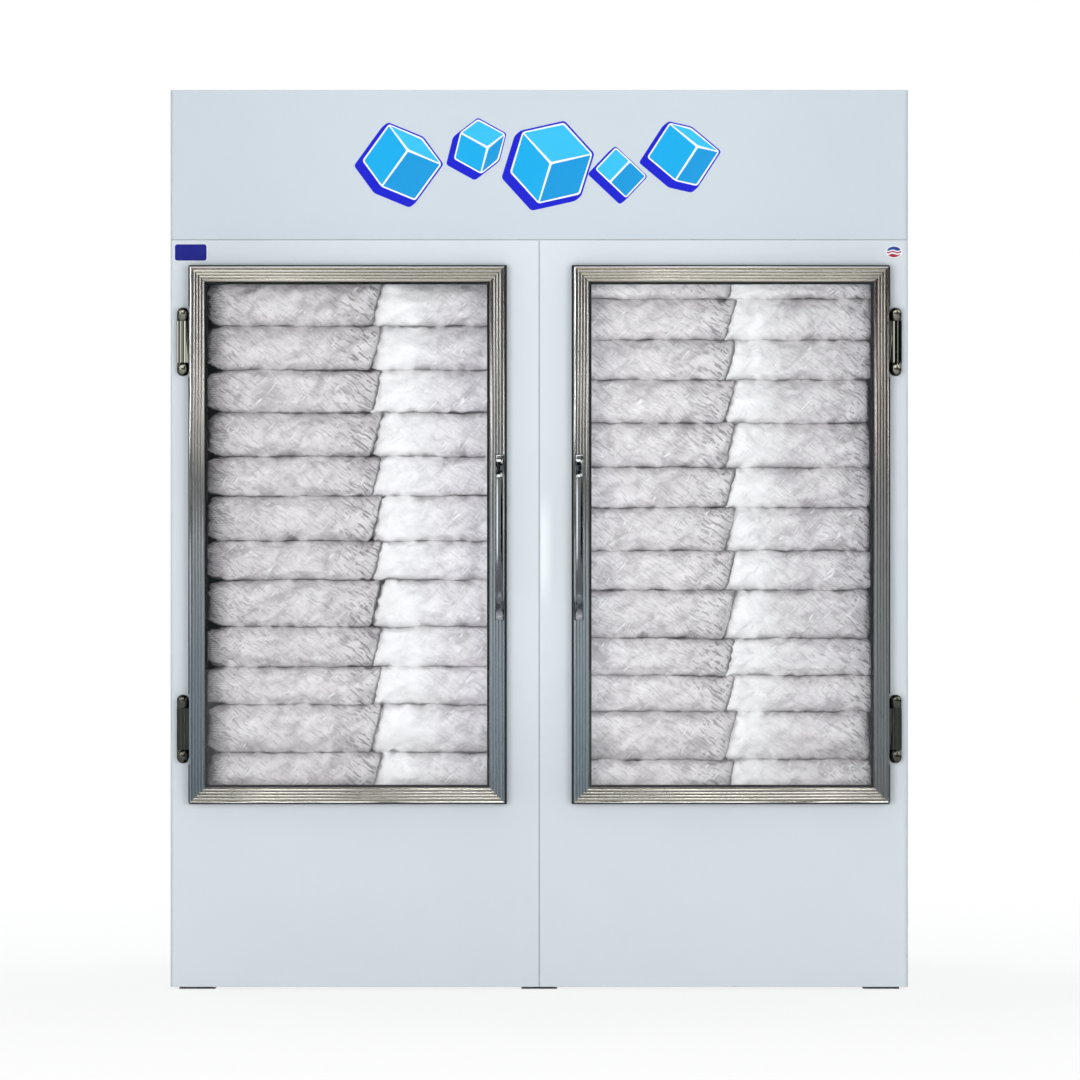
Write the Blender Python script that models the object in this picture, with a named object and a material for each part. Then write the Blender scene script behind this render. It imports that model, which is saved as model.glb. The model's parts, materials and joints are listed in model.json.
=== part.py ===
"""Two-door upright merchandiser for bagged ice, modelled in metres with +Z up and its front towards -Y.

The origin is on the floor, under the middle of the overall box with the doors shut. An insulated box stands
on a welded base with skids. Its front carries two framed glass doors on knuckle hinges. A machine bay
behind the header holds the condensing unit, and the fan coil hangs from the ceiling of the ice store.
"""

import math

import bmesh
import bpy
from mathutils import Matrix, Vector

# Overall cabinet
CABINET_WIDTH = 1.854
CABINET_HEIGHT = 2.260
CABINET_DEPTH = 1.130
HEADER_HEIGHT = 0.376
WALL_THICKNESS = 0.076
SHEET = 0.0015
GAP = 0.0003
SEAM = 0.002
BEND_RADIUS = 0.010
SHEET_RETURN = 0.025
SKIRT_CLEARANCE = 0.006
OVERRUN = 0.020
WELD_DISTANCE = 0.000015

# Welded base
SKID_HEIGHT = 0.060
SKID_WIDTH = 0.090
SKID_SHEET = 0.003
SKID_SETBACK = 0.012
SKID_EDGE_DISTANCE = 0.020
SKID_COUNT = 3

# Doors
DOOR_BOTTOM = 0.470
DOOR_TOP_MARGIN = 0.069
DOOR_SIDE_MARGIN = 0.050
DOOR_MIDDLE_SPACE = 0.172
DOORWAY_OVERLAP = 0.030
FRAME_FACE = 0.039
FRAME_DEPTH = 0.045
FRAME_LIP_WIDTH = 0.0055
FRAME_FIRST_GROOVE = 0.0040
FRAME_RIB_COUNT = 4
FRAME_GROOVE_DEPTH = 0.0016
FRAME_FACE_FALL = 0.0030
FRAME_LIP_THICKNESS = 0.0045
FRAME_REAR_REACH = 0.036
FRAME_EDGE_ROUND = 0.0012
FRAME_BEAD_ROUND = 0.0040
FRAME_BEAD_SEGMENTS = 4
FRAME_CHAMBER_WALL = 0.0025
GROOVE_SHARE = 0.36
FLANK_SHARE = 0.10
POCKET_FLOOR = 0.027
POCKET_CLEARANCE = 0.0010
PANE_THICKNESS = 0.004
PANE_SPACING = 0.016
SPACER_SIGHT = 0.006
MITRE_GAP = 0.0002

# Door seal
SEAL_THICKNESS = 0.010
SEAL_EDGE_DISTANCE = 0.005
SEAL_WIDTH = 0.020
SEAL_NECK_WIDTH = 0.012
SEAL_BASE_THICKNESS = 0.0025
SEAL_FOOT_THICKNESS = 0.0040
DART_WIDTH = 0.005
DART_DEPTH = 0.005

# Door pull
PULL_LENGTH = 0.416
PULL_BELOW_DOOR_MIDDLE = 0.0065
PULL_EDGE_DISTANCE = 0.0138
PULL_PROJECTION = 0.045
PULL_BOW = 0.004
PULL_WIDTH = 0.019
PULL_END_WIDTH = 0.022
PULL_THICKNESS = 0.013
PULL_FOOT_THICKNESS = 0.006
PULL_FOOT_LENGTH = 0.026
PULL_FRONT_RISE_START = 0.012
PULL_FRONT_RISE = 0.046
PULL_REAR_RISE = 0.034
PULL_WIDTH_BLEND = 0.060
PULL_END_STATIONS = 10
PULL_CORNER_SHARE = 0.45
PULL_CORNER_SEGMENTS = 2

# Hinges
HINGE_HEIGHT = 0.173
HINGE_MIDDLE_HEIGHT = 0.104
HINGE_PIN_TO_DOOR = 0.017
HINGE_PIN_STANDOFF = 0.027
HINGE_BARREL_RADIUS = 0.0155
HINGE_PIN_RADIUS = 0.004
HINGE_PLATE_THICKNESS = 0.005
HINGE_PLATE_HALF_WIDTH = 0.0165
HINGE_WEB_HALF_WIDTH = 0.010
HINGE_DOME_LENGTH = 0.014
HINGE_KNUCKLE_GAP = 0.0008
HINGE_FLUTE_DEPTH = 0.0012
HINGE_FLUTE_COUNT = 12
HINGE_LEAF_FRONT = 0.012
HINGE_LEAF_REAR = 0.010
HINGE_FROM_DOOR_TOP = 0.189
HINGE_FROM_DOOR_BOTTOM = 0.185
RUNNING_CLEARANCE = 0.0003

# Machine bay
LID_FLANGE = 0.025
BAY_CORNER_RETURN = 0.060
LOUVRE_ROWS = 7
LOUVRE_PITCH = 0.034
LOUVRE_OPENING = 0.010
LOUVRE_REACH = 0.012
LOUVRE_LENGTH = 0.300
LOUVRE_SPACING = 0.060
SIDE_LOUVRE_COLUMNS = 2
REAR_LOUVRE_COLUMNS = 4
GLAND_RADIUS = 0.011
GLAND_NUT_RADIUS = 0.018
GLAND_NUT_THICKNESS = 0.005
GLAND_INSIDE_LENGTH = 0.022
GLAND_HOLE_RADIUS = 0.0055
GLAND_FROM_SIDE = 0.110
GLAND_ABOVE_DECK = 0.045

# Heat exchangers and their tubes
COIL_CORE_SHARE = 0.45
COIL_FIN_SHARE = 0.35
COIL_END_PLATE = 0.003
COIL_TUBE_RADIUS = 0.0065
COIL_BEND_RADIUS = 0.016
COIL_BEND_COUNT = 3
COIL_BEND_STEPS = 2
COIL_STUB_LENGTH = 0.022
COIL_STUB_INSET = 0.030
COIL_RISER_DROP = 0.008
PIPE_SIDES = 8
PIPE_BEND_RADIUS = 0.035
PIPE_BEND_STEPS = 4
ELBOW_BEND_RADIUS = 0.015
DRIER_RADIUS = 0.016
DRIER_LENGTH = 0.110

# Axial fans and motors
ORIFICE_RADIUS = 0.104
ORIFICE_RING_DEPTH = 0.018
ORIFICE_RING_WALL = 0.003
FAN_RADIUS = 0.100
FAN_HUB_RADIUS = 0.024
FAN_HUB_LENGTH = 0.022
FAN_BLADE_COUNT = 5
FAN_BLADE_CHORD = 0.055
FAN_ROOT_CHORD_SHARE = 0.55
FAN_BLADE_THICKNESS = 0.002
FAN_BLADE_CAMBER = 0.004
FAN_ROOT_PITCH_DEGREES = 38
FAN_TIP_PITCH_DEGREES = 20
FAN_BLADE_STATIONS = 3
FAN_SHAFT_RADIUS = 0.004
FAN_SHAFT_IN_MOTOR = 0.018
FAN_CENTRE_OFFSET = 0.009
MOTOR_OFFSET = 0.032
MOTOR_RADIUS = 0.042
MOTOR_LENGTH = 0.070
MOTOR_ROUND = 0.006
CLAMP_OFFSET = 0.060
CLAMP_WALL = 0.003
CLAMP_WIDTH = 0.014
ARM_WIDTH = 0.012
ARM_THICKNESS = 0.004
ARM_CIRCLE_RADIUS = 0.122
ARM_COUNT = 4

# Condensing unit
CONDENSER_WIDTH = 0.460
CONDENSER_DEPTH = 0.090
CONDENSER_HEIGHT = 0.270
CONDENSER_FOOT = 0.012
CONDENSER_FIN_COUNT = 14
CONDENSER_FROM_REAR = 0.060
CONDENSER_X = -0.330
SHROUD_DEPTH = 0.045
COMPRESSOR_X = 0.060
COMPRESSOR_FROM_FRONT = 0.430
COMPRESSOR_RADIUS = 0.098
COMPRESSOR_HEIGHT = 0.240
COMPRESSOR_DOME = 0.055
COMPRESSOR_SEAM = 0.005
COMPRESSOR_SEAM_HEIGHT = 0.010
COMPRESSOR_PLATE = 0.230
COMPRESSOR_PLATE_THICKNESS = 0.004
COMPRESSOR_LIFT = 0.020
COMPRESSOR_SINK = 0.030
COMPRESSOR_FOOT_RADIUS = 0.013
COMPRESSOR_FOOT_INSET = 0.020
COMPRESSOR_STUB_LENGTH = 0.022
DISCHARGE_STUB_HEIGHT = 0.170
SUCTION_STUB_HEIGHT = 0.095
TERMINAL_WIDTH = 0.060
TERMINAL_HEIGHT = 0.070
TERMINAL_DEPTH = 0.030

# Control box
CONTROL_WIDTH = 0.260
CONTROL_HEIGHT = 0.180
CONTROL_DEPTH = 0.100
CONTROL_FROM_SIDE = 0.407
CONTROL_FROM_FRONT = 0.120
CONTROL_COVER_LIP = 0.004
CONTROL_COVER_THICKNESS = 0.006
CONTROL_CORNER_RADIUS = 0.006
KNOB_RADIUS = 0.022
KNOB_LENGTH = 0.020
KNOB_EDGE_ROUND = 0.003
KNOB_GRIP_WIDTH = 0.006
KNOB_GRIP_HEIGHT = 0.004
KNOB_STEM_RADIUS = 0.003
KNOB_STEM_LENGTH = 0.012
KNOB_SIDE_SHARE = -0.22
SWITCH_SIDE_SHARE = 0.26
SWITCH_WIDTH = 0.018
SWITCH_HEIGHT = 0.024
SWITCH_PIVOT_DEPTH = 0.006
SWITCH_FACE_RISE = 0.003
SWITCH_BELOW_PIVOT = 0.004
SWITCH_PIN_RADIUS = 0.002
SWITCH_PIN_REACH = 0.0015
SWITCH_CLEARANCE = 0.0010
SWITCH_WELL_DEPTH = 0.014
SWITCH_TILT_DEGREES = 9

# Fan coil in the ice store
EVAPORATOR_WIDTH = 1.260
EVAPORATOR_DEPTH = 0.340
EVAPORATOR_HEIGHT = 0.230
EVAPORATOR_FROM_REAR = 0.050
EVAPORATOR_FIN_COUNT = 18
EVAPORATOR_COIL_DEPTH = 0.110
EVAPORATOR_COIL_HEIGHT = 0.205
EVAPORATOR_COIL_MARGIN = 0.060
EVAPORATOR_COIL_SETBACK = 0.006
EVAPORATOR_FAN_X = 0.310
ROOF_PIPE_X = 0.605
ROOF_PIPE_SPACING = 0.040
DRAIN_PAN_HEIGHT = 0.024
DRAIN_SPOUT_RADIUS = 0.008
DRAIN_SPOUT_BORE = 0.006

# Inside the ice store
RACK_HEIGHT = 0.032
RACK_RUNNER_HEIGHT = 0.020
RACK_RUNNER_WIDTH = 0.030
RACK_RUNNER_COUNT = 4
RACK_SLAT_WIDTH = 0.058
RACK_SLAT_COUNT = 10
RACK_MARGIN = 0.012
LAMP_WIDTH = 0.042
LAMP_DEPTH = 0.036
LAMP_END_MARGIN = 0.070
LAMP_LENS_SHARE = 0.62
LAMP_BASE_SHARE = 0.45

ROUND_SEGMENTS = 24
SMALL_ROUND_SEGMENTS = 16
BEND_SEGMENTS = 4
ROUNDING_SEGMENTS = 2

# Places that follow from the sizes above
HALF_WIDTH = CABINET_WIDTH / 2
FRONT = -(CABINET_DEPTH - FRAME_DEPTH - SEAL_THICKNESS - PULL_PROJECTION) / 2
REAR = FRONT + CABINET_DEPTH
BOX_TOP = CABINET_HEIGHT - HEADER_HEIGHT
FLOOR = SKID_HEIGHT + WALL_THICKNESS
CEILING = BOX_TOP - WALL_THICKNESS
WALL_INSIDE = FRONT + WALL_THICKNESS
DOOR_FACE = FRONT - SEAL_THICKNESS - FRAME_DEPTH
DOOR_OUTER_X = HALF_WIDTH - DOOR_SIDE_MARGIN
DOOR_INNER_X = DOOR_MIDDLE_SPACE / 2
DOOR_WIDTH = DOOR_OUTER_X - DOOR_INNER_X
DOOR_TOP = BOX_TOP - DOOR_TOP_MARGIN
DOOR_HEIGHT = DOOR_TOP - DOOR_BOTTOM
DOOR_MIDDLE_Z = (DOOR_TOP + DOOR_BOTTOM) / 2
PULL_Z = DOOR_MIDDLE_Z - PULL_BELOW_DOOR_MIDDLE
HINGE_X = DOOR_OUTER_X + HINGE_PIN_TO_DOOR
HINGE_Y = FRONT - HINGE_PIN_STANDOFF
GLASS_UNIT_DEPTH = 2 * PANE_THICKNESS + PANE_SPACING
SKIN_INSET = SHEET + GAP
INNER_BEND = BEND_RADIUS - SKIN_INSET
POCKET_FRONT = FRAME_FACE_FALL + FRAME_LIP_THICKNESS
POCKET_REAR = POCKET_FRONT + GLASS_UNIT_DEPTH + 2 * GAP
DART_MIDDLE = SEAL_EDGE_DISTANCE + SEAL_WIDTH / 2
CONDENSER_REAR = REAR - SKIN_INSET - CONDENSER_FROM_REAR
CONDENSER_FRONT = CONDENSER_REAR - CONDENSER_DEPTH
CONDENSER_BOTTOM = BOX_TOP + CONDENSER_FOOT
SHROUD_FRONT = CONDENSER_FRONT - GAP - SHROUD_DEPTH
CONDENSER_FAN_Z = CONDENSER_BOTTOM + CONDENSER_HEIGHT / 2
COMPRESSOR_Y = FRONT + COMPRESSOR_FROM_FRONT
CONTROL_FACE = FRONT + CONTROL_FROM_FRONT + CONTROL_DEPTH
CONTROL_MIDDLE_Z = BOX_TOP + GAP + CONTROL_HEIGHT / 2
CONTROL_X = HALF_WIDTH - CONTROL_FROM_SIDE
KNOB_X = CONTROL_X + KNOB_SIDE_SHARE * CONTROL_WIDTH
SWITCH_X = CONTROL_X + SWITCH_SIDE_SHARE * CONTROL_WIDTH
EVAPORATOR_REAR = REAR - WALL_THICKNESS - EVAPORATOR_FROM_REAR
EVAPORATOR_FRONT = EVAPORATOR_REAR - EVAPORATOR_DEPTH
EVAPORATOR_TOP = CEILING - GAP
EVAPORATOR_BOTTOM = EVAPORATOR_TOP - EVAPORATOR_HEIGHT
EVAPORATOR_FAN_Z = EVAPORATOR_TOP - EVAPORATOR_HEIGHT / 2
EVAPORATOR_COIL_REAR = EVAPORATOR_REAR - EVAPORATOR_COIL_SETBACK
EVAPORATOR_COIL_MIDDLE = EVAPORATOR_COIL_REAR - EVAPORATOR_COIL_DEPTH / 2
EVAPORATOR_COIL_TOP = EVAPORATOR_TOP - SKIN_INSET
EVAPORATOR_COIL_BOTTOM = EVAPORATOR_COIL_TOP - EVAPORATOR_COIL_HEIGHT
DRAIN_Z = EVAPORATOR_BOTTOM - GAP - DRAIN_PAN_HEIGHT / 2


def clear_scene():
    for item in list(bpy.data.objects):
        bpy.data.objects.remove(item, do_unlink=True)


def finish(name, colour, roughness, metallic=0.0, alpha=1.0):
    """A plain material, made once for each name."""
    found = bpy.data.materials.get(name)
    if found:
        return found
    made = bpy.data.materials.new(name)
    made.use_nodes = True
    shader = made.node_tree.nodes["Principled BSDF"]
    shader.inputs["Base Color"].default_value = (*colour, 1.0)
    shader.inputs["Roughness"].default_value = roughness
    shader.inputs["Metallic"].default_value = metallic
    shader.inputs["Alpha"].default_value = alpha
    return made


def white_enamel():
    return finish("white_enamel", (0.78, 0.82, 0.85), 0.25)


def galvanised():
    return finish("galvanised_steel", (0.55, 0.57, 0.58), 0.45, 0.9)


def aluminium():
    return finish("anodised_aluminium", (0.52, 0.52, 0.50), 0.32, 1.0)


def chrome():
    return finish("polished_chrome", (0.75, 0.76, 0.78), 0.06, 1.0)


def black_rubber():
    return finish("black_rubber", (0.02, 0.02, 0.022), 0.6)


def black_plastic():
    return finish("black_plastic", (0.03, 0.03, 0.033), 0.4)


def black_paint():
    return finish("black_paint", (0.025, 0.025, 0.027), 0.35, 0.2)


def copper():
    return finish("copper_tube", (0.72, 0.38, 0.24), 0.3, 1.0)


def clear_glass():
    return finish("clear_glass", (0.86, 0.92, 0.90), 0.02, 0.0, 0.25)


def white_foam():
    return finish("rigid_foam", (0.85, 0.80, 0.62), 0.9)


def bare_aluminium():
    return finish("bare_aluminium", (0.70, 0.71, 0.72), 0.4, 1.0)


def lamp_white():
    return finish("lamp_white", (0.92, 0.93, 0.95), 0.3)


def box(low, high):
    """A block between two corners, given in either order."""
    low, high = Vector(low), Vector(high)
    size = Vector(abs(b - a) for a, b in zip(low, high))
    shape = bmesh.new()
    place = Matrix.Translation((low + high) / 2) @ Matrix.Diagonal((*size, 1))
    bmesh.ops.create_cube(shape, size=1, matrix=place)
    return shape


def lifted(point, axis, along):
    """The 3-D point of a flat outline point, for an outline square to X, Y or Z."""
    a, b = point
    return {"X": (along, a, b), "Y": (a, along, b), "Z": (a, b, along)}[axis]


def prism(outline, axis, start, end):
    """An outline pushed along X, Y or Z."""
    shape = bmesh.new()
    corners = [shape.verts.new(lifted(point, axis, start)) for point in outline]
    face = shape.faces.new(corners)
    pushed = bmesh.ops.extrude_face_region(shape, geom=[face])
    moved = [item for item in pushed["geom"] if isinstance(item, bmesh.types.BMVert)]
    bmesh.ops.translate(shape, verts=moved, vec=lifted((0, 0), axis, end - start))
    bmesh.ops.recalc_face_normals(shape, faces=shape.faces)
    return shape


def arc(centre, radius, from_degrees, to_degrees, segments):
    """Points along an arc, both ends included."""
    points = []
    for step in range(segments + 1):
        angle = math.radians(from_degrees + (to_degrees - from_degrees) * step / segments)
        points.append((centre[0] + radius * math.cos(angle), centre[1] + radius * math.sin(angle)))
    return points


def rounded_plan(low, high, radii):
    """A rectangle whose corners, from low X and low Y round by high X, have their own radii."""
    (x0, y0), (x1, y1) = low, high
    corners = ((x0, y0, 1, 1, 180), (x1, y0, -1, 1, 270), (x1, y1, -1, -1, 0), (x0, y1, 1, -1, 90))
    points = []
    for (x, y, inward_x, inward_y, start), radius in zip(corners, radii):
        if radius > 0:
            centre = (x + inward_x * radius, y + inward_y * radius)
            points += arc(centre, radius, start, start + 90, BEND_SEGMENTS)
        else:
            points.append((x, y))
    return points


def across(shape, axis):
    """Turns a shape made along Z so that it runs along another axis."""
    quarter = math.radians(90)
    turns = {"X": (quarter, "Y"), "Y": (-quarter, "X"), "-Y": (quarter, "X")}
    if axis in turns:
        angle, about = turns[axis]
        bmesh.ops.transform(shape, matrix=Matrix.Rotation(angle, 4, about), verts=shape.verts)
    return shape


def moved_to(shape, place):
    bmesh.ops.translate(shape, verts=shape.verts, vec=place)
    return shape


def rod(start, axis, radius, length, segments=SMALL_ROUND_SEGMENTS):
    """A round bar from start along an axis."""
    shape = bmesh.new()
    middle = Matrix.Translation((0, 0, length / 2))
    bmesh.ops.create_cone(
        shape, cap_ends=True, segments=segments, radius1=radius, radius2=radius, depth=length, matrix=middle
    )
    return moved_to(across(shape, axis), start)


def turned(profile, axis, place, segments=ROUND_SEGMENTS):
    """A closed turned shape. The profile lists (radius, height) pairs and starts and ends on the axis."""
    shape = bmesh.new()
    line = [shape.verts.new((radius, 0, height)) for radius, height in profile]
    edges = [shape.edges.new(pair) for pair in zip(line, line[1:])]
    bmesh.ops.spin(
        shape,
        geom=line + edges,
        cent=(0, 0, 0),
        axis=(0, 0, 1),
        angle=math.tau,
        steps=segments,
        use_merge=True,
    )
    bmesh.ops.remove_doubles(shape, verts=shape.verts, dist=WELD_DISTANCE)
    bmesh.ops.recalc_face_normals(shape, faces=shape.faces)
    return moved_to(across(shape, axis), place)


def ring(axis, start, inner_radius, outer_radius, width, segments=ROUND_SEGMENTS):
    """A flat-sided ring from start along an axis."""
    shape = bmesh.new()
    loop = ((inner_radius, 0), (outer_radius, 0), (outer_radius, width), (inner_radius, width))
    corners = [shape.verts.new((radius, 0, height)) for radius, height in loop]
    edges = [shape.edges.new((corners[i], corners[i - 1])) for i in range(len(corners))]
    bmesh.ops.spin(
        shape,
        geom=corners + edges,
        cent=(0, 0, 0),
        axis=(0, 0, 1),
        angle=math.tau,
        steps=segments,
        use_merge=True,
    )
    bmesh.ops.recalc_face_normals(shape, faces=shape.faces)
    return moved_to(across(shape, axis), start)


def loft(sections, looped=False):
    """A closed shape through rings of points with equal counts: its ends filled, or run round into a loop."""
    shape = bmesh.new()
    rings = [[shape.verts.new(point) for point in section] for section in sections]
    pairs = list(zip(rings, rings[1:]))
    if looped:
        pairs.append((rings[-1], rings[0]))
    else:
        shape.faces.new(rings[0])
        shape.faces.new(rings[-1])
    for lower, upper in pairs:
        for index in range(len(lower)):
            shape.faces.new((lower[index - 1], lower[index], upper[index], upper[index - 1]))
    bmesh.ops.recalc_face_normals(shape, faces=shape.faces)
    return shape


def pipe(points, radius):
    """A round tube along a list of points, with flat ends square to the run."""
    points = [Vector(point) for point in points]
    sections = []
    side = (points[1] - points[0]).orthogonal().normalized()
    for index, point in enumerate(points):
        before = points[max(index - 1, 0)]
        after = points[min(index + 1, len(points) - 1)]
        along = ((point - before).normalized() + (after - point).normalized()).normalized()
        side = (side - along * side.dot(along)).normalized()
        other = along.cross(side)
        turns = [math.tau * step / PIPE_SIDES for step in range(PIPE_SIDES)]
        sections.append([point + radius * (math.cos(a) * side + math.sin(a) * other) for a in turns])
    return loft(sections)


def bent(points, bend_radius, steps=PIPE_BEND_STEPS):
    """Straight runs between points, with a bend at each point between them."""
    points = [Vector(point) for point in points]
    route = [points[0]]
    for before, corner, after in zip(points, points[1:], points[2:]):
        incoming = (corner - before).normalized()
        outgoing = (after - corner).normalized()
        reach = bend_radius * math.tan(incoming.angle(outgoing) / 2)
        start = corner - incoming * reach
        end = corner + outgoing * reach
        for step in range(steps + 1):
            t = step / steps
            route.append(start * (1 - t) ** 2 + corner * 2 * t * (1 - t) + end * t**2)
    return [*route, points[-1]]


def together(shapes):
    """Several shapes that don't touch, as one."""
    whole = bmesh.new()
    for shape in shapes:
        mesh = bpy.data.meshes.new("passing")
        shape.to_mesh(mesh)
        shape.free()
        whole.from_mesh(mesh)
        bpy.data.meshes.remove(mesh)
    return whole


def as_object(name, shape):
    mesh = bpy.data.meshes.new(name)
    shape.to_mesh(mesh)
    shape.free()
    made = bpy.data.objects.new(name, mesh)
    bpy.context.scene.collection.objects.link(made)
    return made


def boolean(body, shape, operation):
    """Joins a shape to a body, or cuts it out, and keeps the result as the body's mesh."""
    tool = as_object("tool", shape)
    tool.hide_render = True
    tool.display_type = "WIRE"
    modifier = body.modifiers.new(operation.title(), "BOOLEAN")
    modifier.operation = operation
    modifier.solver = "EXACT"
    modifier.object = tool
    bpy.context.view_layer.update()
    graph = bpy.context.evaluated_depsgraph_get()
    result = bpy.data.meshes.new_from_object(body.evaluated_get(graph))
    body.modifiers.clear()
    before = body.data
    body.data = result
    bpy.data.meshes.remove(before)
    result.name = body.name
    spare = tool.data
    bpy.data.objects.remove(tool)
    bpy.data.meshes.remove(spare)


def piece(name, material, base, *steps, smooth_degrees=30):
    """A named sub-part: a base shape, and then in turn the shapes added to it and cut out of it."""
    operations = {"add": "UNION", "cut": "DIFFERENCE"}
    made = as_object(name, base)
    for step, shape in steps:
        boolean(made, shape, operations[step])
    made.data.materials.clear()
    made.data.materials.append(material)
    made.data.shade_smooth()
    made.data.set_sharp_from_angle(angle=math.radians(smooth_degrees))
    return made


def pivot(name, place):
    """An empty on a joint's axis, which carries what the joint moves."""
    made = bpy.data.objects.new(name, None)
    made.location = place
    bpy.context.scene.collection.objects.link(made)
    return made


def hang(carrier, *pieces):
    """Parents pieces to an empty, with their origins on it and their shapes where they were."""
    for item in pieces:
        item.data.transform(Matrix.Translation(-carrier.location))
        item.parent = carrier


def side_name(side):
    return "left" if side < 0 else "right"


def sided_box(side, x_range, y_range, z_range):
    """A block given for the right-hand side, mirrored for the left."""
    (x0, x1), (y0, y1), (z0, z1) = x_range, y_range, z_range
    return box((side * x0, y0, z0), (side * x1, y1, z1))


# Cabinet


def doorway(grow=0.0):
    """X and Z ranges of the clear hole behind the right-hand door, grown by some amount."""
    inset = DOORWAY_OVERLAP - grow
    return (DOOR_INNER_X + inset, DOOR_OUTER_X - inset), (DOOR_BOTTOM + inset, DOOR_TOP - inset)


def doorway_cutter(side, grow, front, rear):
    x_range, z_range = doorway(grow)
    return sided_box(side, x_range, (front, rear), z_range)


def both_doorways(grow, front, rear):
    return together([doorway_cutter(side, grow, front, rear) for side in (-1, 1)])


def cabinet_plan(inset, front, rear, front_radius, rear_radius):
    """The cabinet's plan drawn in by an inset at its sides, between two depths."""
    half = HALF_WIDTH - inset
    return rounded_plan((-half, front), (half, rear), (front_radius, front_radius, rear_radius, rear_radius))


def roof_pipe_places():
    """Where the liquid line and the suction line pass through the roof."""
    half = ROOF_PIPE_SPACING / 2
    return ((ROOF_PIPE_X, EVAPORATOR_COIL_MIDDLE + half), (ROOF_PIPE_X, EVAPORATOR_COIL_MIDDLE - half))


def roof_pipe_holes(bottom, top):
    radius = COIL_TUBE_RADIUS + GAP
    return together([rod((x, y, bottom), "Z", radius, top - bottom) for x, y in roof_pipe_places()])


def drain_hole(front, rear):
    return rod((0, front, DRAIN_Z), "Y", DRAIN_SPOUT_RADIUS + GAP, rear - front)


def outer_skin():
    """Sides and back of the cabinet in one wrapped sheet, with the drain outlet through its back."""
    start = FRONT + SHEET_RETURN + SEAM
    outside = cabinet_plan(0, start, REAR, 0, BEND_RADIUS)
    inside = cabinet_plan(SHEET, start - OVERRUN, REAR - SHEET, 0, BEND_RADIUS - SHEET)
    return piece(
        "outer_skin",
        white_enamel(),
        prism(outside, "Z", SKIRT_CLEARANCE, BOX_TOP),
        ("cut", prism(inside, "Z", SKIRT_CLEARANCE - OVERRUN, BOX_TOP + OVERRUN)),
        ("cut", drain_hole(REAR - OVERRUN, REAR + OVERRUN)),
    )


def front_panel(side):
    """Half of the painted front, bent round the cabinet's corner, with a folded jamb lining its doorway."""
    bend = BEND_RADIUS - SHEET
    rear = FRONT + SHEET_RETURN
    outside = rounded_plan((SEAM / 2, FRONT), (HALF_WIDTH, rear), (0, BEND_RADIUS, 0, 0))
    inside = rounded_plan(
        (SEAM / 2 - OVERRUN, FRONT + SHEET), (HALF_WIDTH - SHEET, rear + OVERRUN), (0, bend, 0, 0)
    )
    outside = [(side * x, y) for x, y in outside]
    inside = [(side * x, y) for x, y in inside]
    top = BOX_TOP - SEAM
    jamb_rear = WALL_INSIDE - SHEET - GAP
    return piece(
        f"front_panel_{side_name(side)}",
        white_enamel(),
        prism(outside, "Z", SKIRT_CLEARANCE, top),
        ("cut", prism(inside, "Z", SKIRT_CLEARANCE - OVERRUN, top + OVERRUN)),
        ("add", doorway_cutter(side, SHEET, FRONT + SHEET / 2, jamb_rear)),
        ("cut", doorway_cutter(side, 0.0, FRONT - OVERRUN, WALL_INSIDE + OVERRUN)),
    )


def insulation_front():
    """Foam of the front wall: two stiles, a mullion and two rails in one slab with two windows."""
    plan = cabinet_plan(SKIN_INSET, FRONT + SKIN_INSET, WALL_INSIDE - SKIN_INSET, INNER_BEND, 0)
    return piece(
        "insulation_front",
        white_foam(),
        prism(plan, "Z", SKID_HEIGHT + SKIN_INSET, BOX_TOP - SKIN_INSET),
        ("cut", both_doorways(SKIN_INSET, FRONT - OVERRUN, WALL_INSIDE + OVERRUN)),
    )


def insulation_body():
    """Foam of the floor, sides, back and roof, open to the front."""
    plan = cabinet_plan(SKIN_INSET, WALL_INSIDE - SHEET, REAR - SKIN_INSET, 0, INNER_BEND)
    half = HALF_WIDTH - WALL_THICKNESS + SKIN_INSET
    cavity = box(
        (-half, WALL_INSIDE - OVERRUN, FLOOR - SKIN_INSET),
        (half, REAR - WALL_THICKNESS + SKIN_INSET, CEILING + SKIN_INSET),
    )
    return piece(
        "insulation_body",
        white_foam(),
        prism(plan, "Z", SKID_HEIGHT + SKIN_INSET, BOX_TOP - SKIN_INSET),
        ("cut", cavity),
        ("cut", roof_pipe_holes(CEILING - OVERRUN, BOX_TOP + OVERRUN)),
        ("cut", drain_hole(REAR - WALL_THICKNESS - OVERRUN, REAR + OVERRUN)),
    )


def inner_liner():
    """Sheet lining of the ice store, with a window behind each door."""
    half = HALF_WIDTH - WALL_THICKNESS
    rear = REAR - WALL_THICKNESS
    low = (-half - SHEET, WALL_INSIDE - SHEET, FLOOR - SHEET)
    high = (half + SHEET, rear + SHEET, CEILING + SHEET)
    return piece(
        "inner_liner",
        galvanised(),
        box(low, high),
        ("cut", box((-half, WALL_INSIDE, FLOOR), (half, rear, CEILING))),
        ("cut", both_doorways(0.0, FRONT, WALL_INSIDE + OVERRUN)),
        ("cut", roof_pipe_holes(CEILING - OVERRUN, CEILING + OVERRUN)),
        ("cut", drain_hole(rear - OVERRUN, rear + OVERRUN)),
    )


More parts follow.
